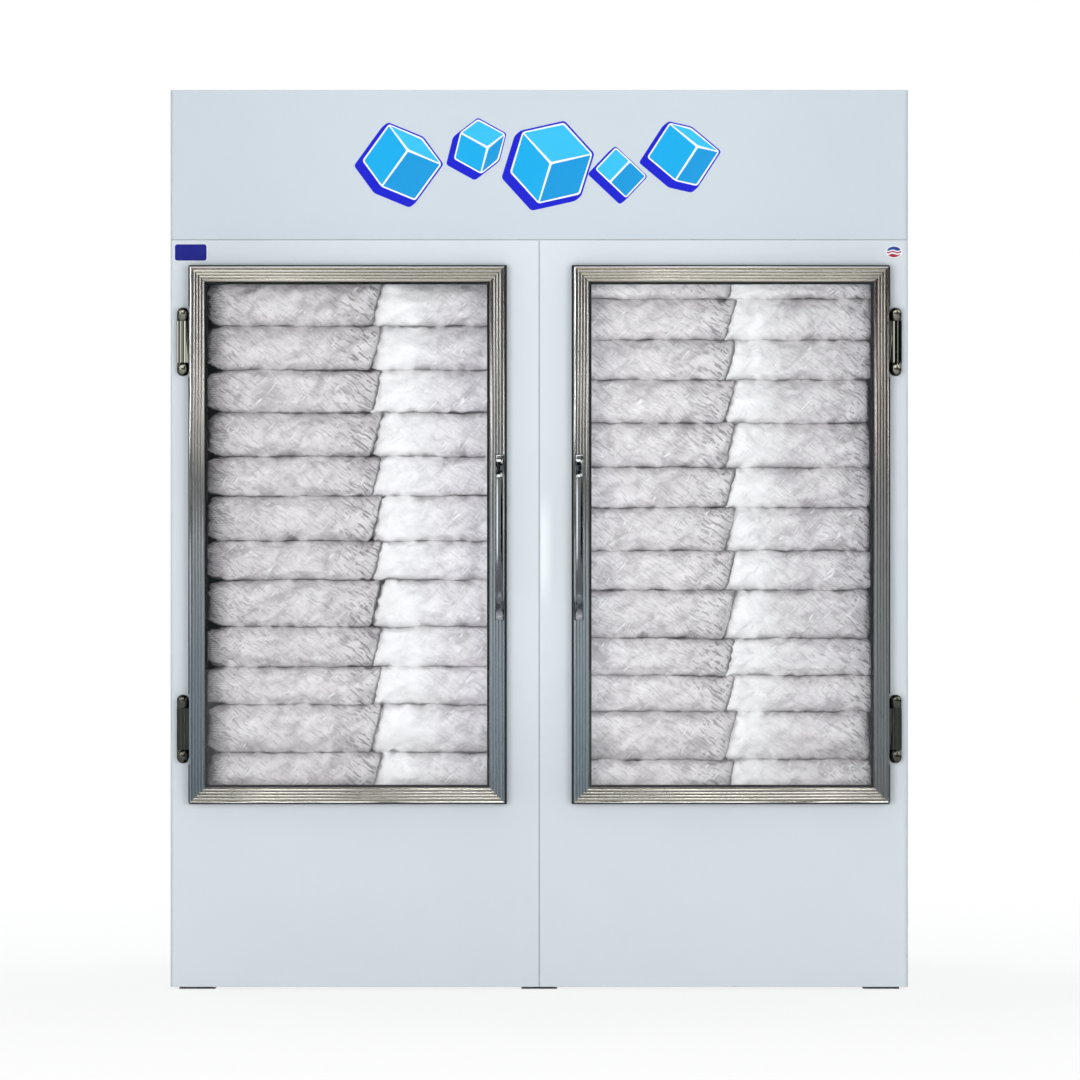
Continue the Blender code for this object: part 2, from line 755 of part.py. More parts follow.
def base_frame():
    """Bottom pan with its edges turned down behind the skins, welded to three hollow skids."""
    plan = cabinet_plan(SKIN_INSET, FRONT + SKIN_INSET, REAR - SKIN_INSET, INNER_BEND, INNER_BEND)
    inner = SKIN_INSET + SHEET
    bend = INNER_BEND - SHEET
    under = cabinet_plan(inner, FRONT + inner, REAR - inner, bend, bend)
    bottom = SKIRT_CLEARANCE + SEAM
    reach = HALF_WIDTH - SKIN_INSET - SKID_EDGE_DISTANCE - SKID_WIDTH / 2
    front, rear = FRONT + SKID_SETBACK, REAR - SKID_SETBACK
    half = SKID_WIDTH / 2
    hollow = half - SKID_SHEET
    skids, hollows = [], []
    for index in range(SKID_COUNT):
        x = reach * (2 * index / (SKID_COUNT - 1) - 1)
        skids.append(box((x - half, front, 0), (x + half, rear, SKID_HEIGHT + SHEET / 2)))
        hollows.append(
            box((x - hollow, front - SHEET, SKID_SHEET), (x + hollow, rear + SHEET, SKID_HEIGHT - SKID_SHEET))
        )
    return piece(
        "base_frame",
        galvanised(),
        prism(plan, "Z", bottom, SKID_HEIGHT + SHEET),
        ("cut", prism(under, "Z", bottom - OVERRUN, SKID_HEIGHT)),
        ("add", together(skids)),
        ("cut", together(hollows)),
    )


def machine_deck():
    """Top sheet of the insulated box, which carries the condensing unit."""
    plan = cabinet_plan(SKIN_INSET, FRONT + SKIN_INSET, REAR - SKIN_INSET, INNER_BEND, INNER_BEND)
    return piece(
        "machine_deck",
        galvanised(),
        prism(plan, "Z", BOX_TOP - SHEET, BOX_TOP),
        ("cut", roof_pipe_holes(BOX_TOP - OVERRUN, BOX_TOP + OVERRUN)),
    )


# Machine bay panels


def header_panel():
    """Sign panel over the doors, folded back at its sides and top."""
    rear = FRONT + SHEET_RETURN
    outside = cabinet_plan(0, FRONT, rear, BEND_RADIUS, 0)
    inside = cabinet_plan(SHEET, FRONT + SHEET, rear + OVERRUN, BEND_RADIUS - SHEET, 0)
    return piece(
        "header_panel",
        white_enamel(),
        prism(outside, "Z", BOX_TOP + GAP, CABINET_HEIGHT),
        ("cut", prism(inside, "Z", BOX_TOP - OVERRUN, CABINET_HEIGHT - SHEET)),
    )


def bay_lid():
    """Cover over the machine bay, with flanges down its sides and back."""
    start = FRONT + SHEET_RETURN + SEAM
    outside = cabinet_plan(0, start, REAR, 0, BEND_RADIUS)
    inside = cabinet_plan(SHEET, start - OVERRUN, REAR - SHEET, 0, BEND_RADIUS - SHEET)
    bottom = CABINET_HEIGHT - LID_FLANGE
    return piece(
        "bay_lid",
        white_enamel(),
        prism(outside, "Z", bottom, CABINET_HEIGHT),
        ("cut", prism(inside, "Z", bottom - OVERRUN, CABINET_HEIGHT - SHEET)),
    )


def louvre_places(columns, middle):
    """The low corner of each louvre slot, along the panel and up it."""
    width = columns * LOUVRE_LENGTH + (columns - 1) * LOUVRE_SPACING
    height = (LOUVRE_ROWS - 1) * LOUVRE_PITCH + LOUVRE_OPENING
    bottom = (BOX_TOP + CABINET_HEIGHT - height) / 2
    for column in range(columns):
        for row in range(LOUVRE_ROWS):
            along = middle - width / 2 + column * (LOUVRE_LENGTH + LOUVRE_SPACING)
            yield along, bottom + row * LOUVRE_PITCH


def louvres(columns, middle, face, inward, axis):
    """Steps that cut slots through a panel and add the blades pressed inwards over them."""
    slots, blades = [], []
    outside = face - inward * OVERRUN
    inside = face + inward * OVERRUN
    root = face + inward * SHEET / 2
    tip = face + inward * (SHEET + LOUVRE_REACH)
    for along, bottom in louvre_places(columns, middle):
        top = bottom + LOUVRE_OPENING
        slot = ((outside, bottom), (inside, bottom), (inside, top), (outside, top))
        blade = ((root, top + SHEET), (root, top), (tip, bottom), (tip, bottom + SHEET))
        slots.append(prism(slot, axis, along, along + LOUVRE_LENGTH))
        blades.append(prism(blade, axis, along, along + LOUVRE_LENGTH))
    return ("cut", together(slots)), ("add", together(blades))


def bay_side(side):
    """Louvred side of the machine bay, with a return round the back corner."""
    start = FRONT + BEND_RADIUS + SHEET
    rear = REAR - SKIN_INSET
    half = HALF_WIDTH - SKIN_INSET
    keep = HALF_WIDTH - BAY_CORNER_RETURN
    outside = rounded_plan((keep, start), (half, rear), (0, 0, INNER_BEND, 0))
    inside = rounded_plan(
        (keep - OVERRUN, start - OVERRUN), (half - SHEET, rear - SHEET), (0, 0, INNER_BEND - SHEET, 0)
    )
    outside = [(side * x, y) for x, y in outside]
    inside = [(side * x, y) for x, y in inside]
    bottom, top = BOX_TOP + GAP, CABINET_HEIGHT - SKIN_INSET
    return piece(
        f"bay_side_{side_name(side)}",
        white_enamel(),
        prism(outside, "Z", bottom, top),
        ("cut", prism(inside, "Z", bottom - OVERRUN, top + OVERRUN)),
        *louvres(SIDE_LOUVRE_COLUMNS, (start + rear) / 2, side * half, -side, "Y"),
    )


def gland_place(y):
    return (HALF_WIDTH - GLAND_FROM_SIDE, y, BOX_TOP + GLAND_ABOVE_DECK)


def bay_rear():
    """Louvred back of the machine bay, between the side panels' returns, with a hole for the cord gland."""
    half = HALF_WIDTH - BAY_CORNER_RETURN - SEAM
    rear = REAR - SKIN_INSET
    bottom, top = BOX_TOP + GAP, CABINET_HEIGHT - SKIN_INSET
    return piece(
        "bay_rear_panel",
        white_enamel(),
        box((-half, rear - SHEET, bottom), (half, rear, top)),
        ("cut", rod(gland_place(rear - OVERRUN), "Y", GLAND_RADIUS + GAP, 2 * OVERRUN)),
        *louvres(REAR_LOUVRE_COLUMNS, 0.0, rear, -1, "X"),
    )


def cord_gland():
    """Sleeve for the supply cord, with a nut inside the bay and its bore left open."""
    rear = REAR - SKIN_INSET - SHEET - GAP
    start = rear - GLAND_INSIDE_LENGTH
    bore = rod(gland_place(start - OVERRUN), "Y", GLAND_HOLE_RADIUS, REAR - start + 2 * OVERRUN)
    return piece(
        "cord_gland",
        black_plastic(),
        rod(gland_place(start), "Y", GLAND_RADIUS, REAR - SHEET - start, ROUND_SEGMENTS),
        ("add", rod(gland_place(rear - GLAND_NUT_THICKNESS), "Y", GLAND_NUT_RADIUS, GLAND_NUT_THICKNESS, 6)),
        ("cut", bore),
    )


# Doors


def frame_section():
    """The door frame's section: across it from the door's edge, and back from its face."""

    def fall(across_face):
        return FRAME_FACE_FALL * across_face / FRAME_FACE

    pitch = (FRAME_FACE - FRAME_LIP_WIDTH - FRAME_FIRST_GROOVE) / FRAME_RIB_COUNT
    flank = FLANK_SHARE * pitch
    face = [(FRAME_LIP_WIDTH, fall(FRAME_LIP_WIDTH))]
    groove_start = FRAME_LIP_WIDTH
    groove_end = FRAME_LIP_WIDTH + FRAME_FIRST_GROOVE
    for _ in range(FRAME_RIB_COUNT):
        for place in (groove_start + flank, groove_end - flank):
            face.append((place, fall(place) + FRAME_GROOVE_DEPTH))
        rib_end = groove_end + (1 - GROOVE_SHARE) * pitch
        face.append((groove_end, fall(groove_end)))
        face.append((rib_end, fall(rib_end)))
        groove_start, groove_end = rib_end, groove_end + pitch
    back = [
        (FRAME_FACE, fall(FRAME_FACE) + FRAME_GROOVE_DEPTH),
        (FRAME_FACE, POCKET_FRONT),
        (POCKET_FLOOR, POCKET_FRONT),
        (POCKET_FLOOR, POCKET_REAR),
        (FRAME_REAR_REACH, POCKET_REAR),
        (FRAME_REAR_REACH, FRAME_DEPTH),
    ]
    half = DART_WIDTH / 2 + GAP
    slot = [
        (DART_MIDDLE + half, FRAME_DEPTH),
        (DART_MIDDLE + half, FRAME_DEPTH - DART_DEPTH - GAP),
        (DART_MIDDLE - half, FRAME_DEPTH - DART_DEPTH - GAP),
        (DART_MIDDLE - half, FRAME_DEPTH),
    ]
    edge = [(FRAME_EDGE_ROUND, FRAME_DEPTH), (0, FRAME_DEPTH - FRAME_EDGE_ROUND)]
    bead = arc((FRAME_BEAD_ROUND, FRAME_BEAD_ROUND), FRAME_BEAD_ROUND, 180, 270, FRAME_BEAD_SEGMENTS)
    return face + back + slot + edge + bead


def chamber_section():
    """The hollow inside the frame's section."""
    wall = FRAME_CHAMBER_WALL
    front = FRAME_FACE_FALL + FRAME_GROOVE_DEPTH + wall
    rear = FRAME_DEPTH - DART_DEPTH - GAP - wall
    across_end = POCKET_FLOOR - wall
    return [(wall, front), (across_end, front), (across_end, rear), (wall, rear)]


def frame_member(name, corner, run, inward, length, carrier):
    """One mitred length of frame from a corner of the door's face, its hollow open at both ends."""
    corner, run, inward = Vector(corner), Vector(run), Vector(inward)

    def ring_at(section, along, mitre):
        points = []
        for across_face, back in section:
            place = along + mitre * (across_face + MITRE_GAP)
            points.append(corner + run * place + inward * across_face + Vector((0, back, 0)))
        return points

    body = loft([ring_at(frame_section(), 0, 1), ring_at(frame_section(), length, -1)])
    hollow = loft([ring_at(chamber_section(), -OVERRUN, 1), ring_at(chamber_section(), length + OVERRUN, -1)])
    hang(carrier, piece(name, aluminium(), body, ("cut", hollow)))


def door_ring(section, face, side):
    """A section run round the door's outline: its points lie in from the door's edge and back from a face."""
    low_x, high_x = sorted((side * DOOR_INNER_X, side * DOOR_OUTER_X))
    corners = ((low_x, DOOR_BOTTOM, 1, 1), (high_x, DOOR_BOTTOM, -1, 1), (high_x, DOOR_TOP, -1, -1))
    corners += ((low_x, DOOR_TOP, 1, -1),)
    sections = []
    for x, z, inward_x, inward_z in corners:
        points = [(x + inward_x * inset, face + back, z + inward_z * inset) for inset, back in section]
        sections.append(points)
    return loft(sections, looped=True)


def door_frame(side, carrier):
    """Four mitred lengths round one door."""
    outer, inner = side * DOOR_OUTER_X, side * DOOR_INNER_X
    name = side_name(side)
    lengths = (
        ("top_rail", (inner, DOOR_FACE, DOOR_TOP), (side, 0, 0), (0, 0, -1), DOOR_WIDTH),
        ("bottom_rail", (inner, DOOR_FACE, DOOR_BOTTOM), (side, 0, 0), (0, 0, 1), DOOR_WIDTH),
        ("hinge_stile", (outer, DOOR_FACE, DOOR_BOTTOM), (0, 0, 1), (-side, 0, 0), DOOR_HEIGHT),
        ("handle_stile", (inner, DOOR_FACE, DOOR_BOTTOM), (0, 0, 1), (side, 0, 0), DOOR_HEIGHT),
    )
    for kind, corner, run, inward, length in lengths:
        frame_member(f"{name}_{kind}", corner, run, inward, length, carrier)


def door_glass(side, carrier):
    """Sealed glass unit: two panes held apart by a black spacer."""
    name = side_name(side)
    inset = POCKET_FLOOR + POCKET_CLEARANCE
    x_range = (DOOR_INNER_X + inset, DOOR_OUTER_X - inset)
    z_range = (DOOR_BOTTOM + inset, DOOR_TOP - inset)
    front = DOOR_FACE + POCKET_FRONT + GAP
    inner_front = front + PANE_THICKNESS + PANE_SPACING
    spacer_section = (
        (inset, GAP),
        (FRAME_FACE + SPACER_SIGHT, GAP),
        (FRAME_FACE + SPACER_SIGHT, PANE_SPACING - GAP),
        (inset, PANE_SPACING - GAP),
    )
    outer_pane = sided_box(side, x_range, (front, front + PANE_THICKNESS), z_range)
    inner_pane = sided_box(side, x_range, (inner_front, inner_front + PANE_THICKNESS), z_range)
    spacer = door_ring(spacer_section, front + PANE_THICKNESS, side)
    hang(
        carrier,
        piece(f"{name}_outer_pane", clear_glass(), outer_pane),
        piece(f"{name}_inner_pane", clear_glass(), inner_pane),
        piece(f"{name}_spacer", black_rubber(), spacer),
    )


def door_seal(side, carrier):
    """Magnetic seal: a dart in the frame's slot, a waisted body and a foot on the cabinet's face."""
    base_half, neck_half, dart_half = SEAL_WIDTH / 2, SEAL_NECK_WIDTH / 2, DART_WIDTH / 2
    front, rear = GAP, SEAL_THICKNESS - GAP
    base_rear = GAP + SEAL_BASE_THICKNESS
    foot_front = rear - SEAL_FOOT_THICKNESS
    right = [
        (dart_half, -DART_DEPTH),
        (dart_half, front),
        (base_half, front),
        (base_half, base_rear),
        (neck_half, (base_rear + foot_front) / 2),
        (base_half, foot_front),
        (base_half, rear),
    ]
    left = [(-inset, back) for inset, back in reversed(right)]
    section = [(DART_MIDDLE + inset, back) for inset, back in right + left]
    seal = door_ring(section, DOOR_FACE + FRAME_DEPTH, side)
    hang(carrier, piece(f"{side_name(side)}_gasket", black_rubber(), seal))


def eased(value):
    """A share from nought to one with soft ends."""
    value = min(max(value, 0.0), 1.0)
    return value * value * (3 - 2 * value)


def pull_station(distance_from_end, side):
    """The pull's outline at one height, square to its run: a rounded block from its rear to its front."""
    half_length = PULL_LENGTH / 2
    bow = PULL_BOW * (1 - ((half_length - distance_from_end) / half_length) ** 2)
    grip_front = PULL_PROJECTION - PULL_BOW + bow
    front_share = eased((distance_from_end - PULL_FRONT_RISE_START) / PULL_FRONT_RISE)
    rear_share = eased((distance_from_end - PULL_FOOT_LENGTH) / PULL_REAR_RISE)
    front = PULL_FOOT_THICKNESS + (grip_front - PULL_FOOT_THICKNESS) * front_share
    rear = GAP + (grip_front - PULL_THICKNESS - GAP) * rear_share
    width_share = eased(distance_from_end / PULL_WIDTH_BLEND)
    half_width = (PULL_END_WIDTH + (PULL_WIDTH - PULL_END_WIDTH) * width_share) / 2
    front_corner = PULL_CORNER_SHARE * 2 * min(half_width, PULL_FOOT_THICKNESS)
    rear_corner = front_corner * rear_share + GAP
    corners = ((-half_width, front, 1, -1, 90, front_corner), (-half_width, rear, 1, 1, 180, rear_corner))
    corners += ((half_width, rear, -1, 1, 270, rear_corner), (half_width, front, -1, -1, 0, front_corner))
    centre_x = side * (DOOR_INNER_X + PULL_EDGE_DISTANCE)
    outline = []
    for across_pull, out, inward_x, inward_out, start, radius in corners:
        centre = (across_pull + inward_x * radius, out + inward_out * radius)
        outline += arc(centre, radius, start, start + 90, PULL_CORNER_SEGMENTS)
    return [(centre_x + across_pull, DOOR_FACE - out) for across_pull, out in outline]


def door_pull(side, carrier):
    """Bow pull with flared feet on the handle stile."""
    rise_end = PULL_FRONT_RISE_START + PULL_FRONT_RISE + PULL_BOW
    distances = [rise_end * step / PULL_END_STATIONS for step in range(PULL_END_STATIONS + 1)]
    middle = PULL_LENGTH / 2
    distances += [(rise_end + middle) / 2, middle]
    low = PULL_Z - middle
    high = PULL_Z + middle
    places = [(low + distance, distance) for distance in distances]
    places += [(high - distance, distance) for distance in reversed(distances[:-1])]
    sections = []
    for z, distance in places:
        sections.append([(x, y, z) for x, y in pull_station(distance, side)])
    hang(carrier, piece(f"{side_name(side)}_handle", chrome(), loft(sections), smooth_degrees=40))


# Hinges


def hinge_middles():
    return {
        "upper": DOOR_TOP - HINGE_FROM_DOOR_TOP,
        "lower": DOOR_BOTTOM + HINGE_FROM_DOOR_BOTTOM,
    }


def hinge_base(side, level, middle):
    """Fixed half: a plate on the cabinet's face, two domed knuckles on webs and the pin between them."""
    x = side * HINGE_X
    half = HINGE_HEIGHT / 2
    start = HINGE_MIDDLE_HEIGHT / 2 + HINGE_KNUCKLE_GAP
    dome_start = half - HINGE_DOME_LENGTH
    plate_rear = FRONT - GAP
    plate = box(
        (x - HINGE_PLATE_HALF_WIDTH, plate_rear - HINGE_PLATE_THICKNESS, middle - dome_start),
        (x + HINGE_PLATE_HALF_WIDTH, plate_rear, middle + dome_start),
    )
    dome = [
        (radius, dome_start + height * HINGE_DOME_LENGTH / HINGE_BARREL_RADIUS)
        for radius, height in arc((0, 0), HINGE_BARREL_RADIUS, 0, 90, BEND_SEGMENTS)[:-1]
    ]
    line = [(0, start), (HINGE_BARREL_RADIUS, start), *dome, (0, half)]
    webs, knuckles = [], []
    for way in (-1, 1):
        profile = [(radius, way * height) for radius, height in line]
        knuckles.append(turned(profile, "Z", (x, HINGE_Y, middle), SMALL_ROUND_SEGMENTS))
        webs.append(
            box(
                (x - HINGE_WEB_HALF_WIDTH, HINGE_Y, middle + way * start),
                (x + HINGE_WEB_HALF_WIDTH, plate_rear - HINGE_PLATE_THICKNESS / 2, middle + way * dome_start),
            )
        )
    pin_half = (start + dome_start) / 2
    return piece(
        f"{side_name(side)}_{level}_hinge_base",
        chrome(),
        plate,
        ("add", together(webs)),
        ("add", together(knuckles)),
        ("add", rod((x, HINGE_Y, middle - pin_half), "Z", HINGE_PIN_RADIUS, 2 * pin_half)),
    )


def fluted_outline(centre):
    """A round outline with shallow flutes."""
    steps = 4 * HINGE_FLUTE_COUNT
    points = []
    for step in range(steps):
        angle = math.tau * step / steps
        radius = HINGE_BARREL_RADIUS - (HINGE_FLUTE_DEPTH if step % 4 in (1, 2) else 0)
        points.append((centre[0] + radius * math.cos(angle), centre[1] + radius * math.sin(angle)))
    return points


def hinge_leaf(side, level, middle, carrier):
    """Moving half: a fluted knuckle bored for the pin, and a block fixed to the door's edge."""
    x = side * HINGE_X
    half = HINGE_MIDDLE_HEIGHT / 2
    door_edge = side * (DOOR_OUTER_X + GAP)
    block = box(
        (door_edge, HINGE_Y - HINGE_LEAF_FRONT, middle - half),
        (x, HINGE_Y + HINGE_LEAF_REAR, middle + half),
    )
    bore = rod(
        (x, HINGE_Y, middle - half - OVERRUN),
        "Z",
        HINGE_PIN_RADIUS + RUNNING_CLEARANCE,
        HINGE_MIDDLE_HEIGHT + 2 * OVERRUN,
    )
    leaf = piece(
        f"{side_name(side)}_{level}_hinge_leaf",
        chrome(),
        prism(fluted_outline((x, HINGE_Y)), "Z", middle - half, middle + half),
        ("add", block),
        ("cut", bore),
        smooth_degrees=25,
    )
    hang(carrier, leaf)


def door(side):
    """One framed glass door with its pull and the moving halves of its hinges."""
    carrier = pivot(f"{side_name(side)}_door_axis", (side * HINGE_X, HINGE_Y, DOOR_MIDDLE_Z))
    door_frame(side, carrier)
    door_glass(side, carrier)
    door_seal(side, carrier)
    door_pull(side, carrier)
    for level, middle in hinge_middles().items():
        hinge_base(side, level, middle)
        hinge_leaf(side, level, middle, carrier)


# Axial fans


def fan_blade(index):
    """One twisted blade round the Z axis. Its sections follow circles, which keeps its tip in the orifice."""
    root = (FAN_HUB_RADIUS + FAN_SHAFT_RADIUS) / 2
    sections = []
    for station in range(FAN_BLADE_STATIONS):
        share = station / (FAN_BLADE_STATIONS - 1)
        radius = root + (FAN_RADIUS - root) * share
        twist = (FAN_TIP_PITCH_DEGREES - FAN_ROOT_PITCH_DEGREES) * share
        pitch = math.radians(FAN_ROOT_PITCH_DEGREES + twist)
        chord = FAN_BLADE_CHORD * (FAN_ROOT_CHORD_SHARE + (1 - FAN_ROOT_CHORD_SHARE) * eased(2 * share))
        half, skin = chord / 2, FAN_BLADE_THICKNESS / 2
        section = ((-half, -skin), (0, FAN_BLADE_CAMBER - skin), (half, -skin), (half, skin))
        section += ((0, FAN_BLADE_CAMBER + skin), (-half, skin))
        ring_points = []
        for along, rise in section:
            around = (along * math.cos(pitch) - rise * math.sin(pitch)) / radius
            height = along * math.sin(pitch) + rise * math.cos(pitch)
            turn = around + math.tau * index / FAN_BLADE_COUNT
            ring_points.append((radius * math.cos(turn), radius * math.sin(turn), height))
        sections.append(ring_points)
    return loft(sections)


def fan(name, x, y, z, axis):
    """Five-bladed fan on its own pivot, with its shaft reaching into the motor along an axis."""
    way = -1 if axis == "-Y" else 1
    centre = (x, y + way * FAN_CENTRE_OFFSET, z)
    carrier = pivot(f"{name}_axis", centre)
    half = FAN_HUB_LENGTH / 2
    shaft_end = MOTOR_OFFSET - FAN_CENTRE_OFFSET + FAN_SHAFT_IN_MOTOR - GAP
    hub = ((0, -half), (FAN_HUB_RADIUS - GAP, -half), (FAN_HUB_RADIUS, half), (FAN_SHAFT_RADIUS, half))
    hub += ((FAN_SHAFT_RADIUS, shaft_end), (0, shaft_end))
    blades = together([fan_blade(index) for index in range(FAN_BLADE_COUNT)])
    moved_to(across(blades, axis), centre)
    body = turned(hub, axis, centre)
    hang(carrier, piece(name, bare_aluminium(), body, ("add", blades), smooth_degrees=40))


def fan_motor(name, x, y, z, axis):
    """Round motor behind a fan, bored for its shaft."""
    way = -1 if axis == "-Y" else 1
    bore, outer, length = FAN_SHAFT_RADIUS + RUNNING_CLEARANCE, MOTOR_RADIUS, MOTOR_LENGTH
    near = arc((outer - MOTOR_ROUND, MOTOR_ROUND), MOTOR_ROUND, -90, 0, ROUNDING_SEGMENTS)
    far = arc((outer - MOTOR_ROUND, length - MOTOR_ROUND), MOTOR_ROUND, 0, 90, ROUNDING_SEGMENTS)
    profile = [(0, FAN_SHAFT_IN_MOTOR), (bore, FAN_SHAFT_IN_MOTOR), (bore, 0), *near, *far, (0, length)]
    return piece(name, black_paint(), turned(profile, axis, (x, y + way * MOTOR_OFFSET, z)))


def fan_orifices(places, y, axis):
    """Steps that give a plate its rimmed openings and the arms that clamp a motor behind each."""
    way = -1 if axis == "-Y" else 1
    holes, rims, clamps, arms = [], [], [], []
    ring_middle = MOTOR_RADIUS + GAP + CLAMP_WALL / 2
    arm = (
        (ARM_CIRCLE_RADIUS - ARM_THICKNESS, 0),
        (ARM_CIRCLE_RADIUS, 0),
        (ARM_CIRCLE_RADIUS, CLAMP_OFFSET + ARM_THICKNESS),
        (ring_middle, CLAMP_OFFSET + ARM_THICKNESS),
        (ring_middle, CLAMP_OFFSET),
        (ARM_CIRCLE_RADIUS - ARM_THICKNESS, CLAMP_OFFSET),
    )
    clamp_start = CLAMP_OFFSET + (ARM_THICKNESS - CLAMP_WIDTH) / 2
    inner = MOTOR_RADIUS + GAP
    rim_radius = ORIFICE_RADIUS + ORIFICE_RING_WALL
    for x, z in places:
        rims.append(rod((x, y, z), axis, rim_radius, ORIFICE_RING_DEPTH, ROUND_SEGMENTS))
        holes.append(rod((x, y - way * OVERRUN, z), axis, ORIFICE_RADIUS, 3 * OVERRUN, ROUND_SEGMENTS))
        clamps.append(ring(axis, (x, y + way * clamp_start, z), inner, inner + CLAMP_WALL, CLAMP_WIDTH))
        for index in range(ARM_COUNT):
            bar = prism(arm, "Y", -ARM_WIDTH / 2, ARM_WIDTH / 2)
            turn = Matrix.Rotation(math.tau * (index + 0.5) / ARM_COUNT, 4, "Z")
            bmesh.ops.transform(bar, matrix=turn, verts=bar.verts)
            arms.append(moved_to(across(bar, axis), (x, y, z)))
    steps = (("add", rims), ("cut", holes), ("add", clamps), ("add", arms))
    return [(step, together(shapes)) for step, shapes in steps]


# Heat exchangers


def comb(half, fin_count, front, rear):
    """Plan of a coil's core with fins standing out of its front and its back."""
    middle = (front + rear) / 2
    core = COIL_CORE_SHARE * (rear - front) / 2
    pitch = 2 * half / fin_count
    fin = COIL_FIN_SHARE * pitch / 2
    outline = []
    for way, face in ((-1, front), (1, rear)):
        root = middle + way * core
        outline.append((way * half, root))
        for index in range(fin_count):
            centre = way * (half - (index + 0.5) * pitch)
            outline += [(centre + way * fin, root), (centre + way * fin, face)]
            outline += [(centre - way * fin, face), (centre - way * fin, root)]
        outline.append((-way * half, root))
    return outline


def coil(name, x, front, rear, bottom, top, width, fin_count, foot, stubs_up):
    """Finned block between end plates: return bends on its left, and two tube stubs on its right."""
    middle = (front + rear) / 2
    plate = COIL_END_PLATE
    half = width / 2 - plate / 2
    block = prism([(x + along, y) for along, y in comb(half, fin_count, front, rear)], "Z", bottom, top)
    plates = [
        box((x + way * width / 2, front, bottom - foot), (x + way * (width / 2 - plate), rear, top))
        for way in (-1, 1)
    ]
    left = x - width / 2 + plate / 2
    right = x + width / 2 - plate / 2
    spread = COIL_BEND_RADIUS
    bends = []
    for index in range(COIL_BEND_COUNT):
        z = bottom + (top - bottom) * (index + 0.5) / COIL_BEND_COUNT
        route = [(left, middle, z - spread), (left - 2 * spread, middle, z - spread)]
        route += [(left - 2 * spread, middle, z + spread), (left, middle, z + spread)]
        bends.append(pipe(bent(route, spread, COIL_BEND_STEPS), COIL_TUBE_RADIUS))
    stubs = []
    stub = COIL_STUB_LENGTH + plate / 2
    for place, z in zip(stub_depths(middle), (bottom + COIL_STUB_INSET, top - COIL_STUB_INSET)):
        if stubs_up is None:
            stubs.append(rod((right, place, z), "X", COIL_TUBE_RADIUS, stub, PIPE_SIDES))
        else:
            route = [(right, place, z), (ROOF_PIPE_X, place, z), (ROOF_PIPE_X, place, stubs_up)]
            stubs.append(pipe(bent(route, ELBOW_BEND_RADIUS), COIL_TUBE_RADIUS))
    return piece(
        name,
        bare_aluminium(),
        block,
        ("add", together(plates)),
        ("add", together(bends)),
        ("add", together(stubs)),
    )


def stub_depths(middle):
    half = ROOF_PIPE_SPACING / 2
    return middle + half, middle - half


# Condensing unit


def condenser_coil():
    top = CONDENSER_BOTTOM + CONDENSER_HEIGHT
    foot = CONDENSER_FOOT - GAP
    return coil(
        "condenser_coil",
        CONDENSER_X,
        CONDENSER_FRONT,
        CONDENSER_REAR,
        CONDENSER_BOTTOM,
        top,
        CONDENSER_WIDTH,
        CONDENSER_FIN_COUNT,
        foot,
        None,
    )


def fan_shroud():
    """Sheet hood on the condenser's face, with the fan's opening and its motor's arms."""
    half = CONDENSER_WIDTH / 2
    top = CONDENSER_BOTTOM + CONDENSER_HEIGHT
    front, rear = SHROUD_FRONT, CONDENSER_FRONT - GAP
    low = (CONDENSER_X - half, front, BOX_TOP + GAP)
    hollow_low = (CONDENSER_X - half + SHEET, front + SHEET, BOX_TOP + GAP + SHEET)
    return piece(
        "fan_shroud",
        galvanised(),
        box(low, (CONDENSER_X + half, rear, top)),
        ("cut", box(hollow_low, (CONDENSER_X + half - SHEET, rear + OVERRUN, top - SHEET))),
        *fan_orifices([(CONDENSER_X, CONDENSER_FAN_Z)], front + SHEET / 2, "-Y"),
    )


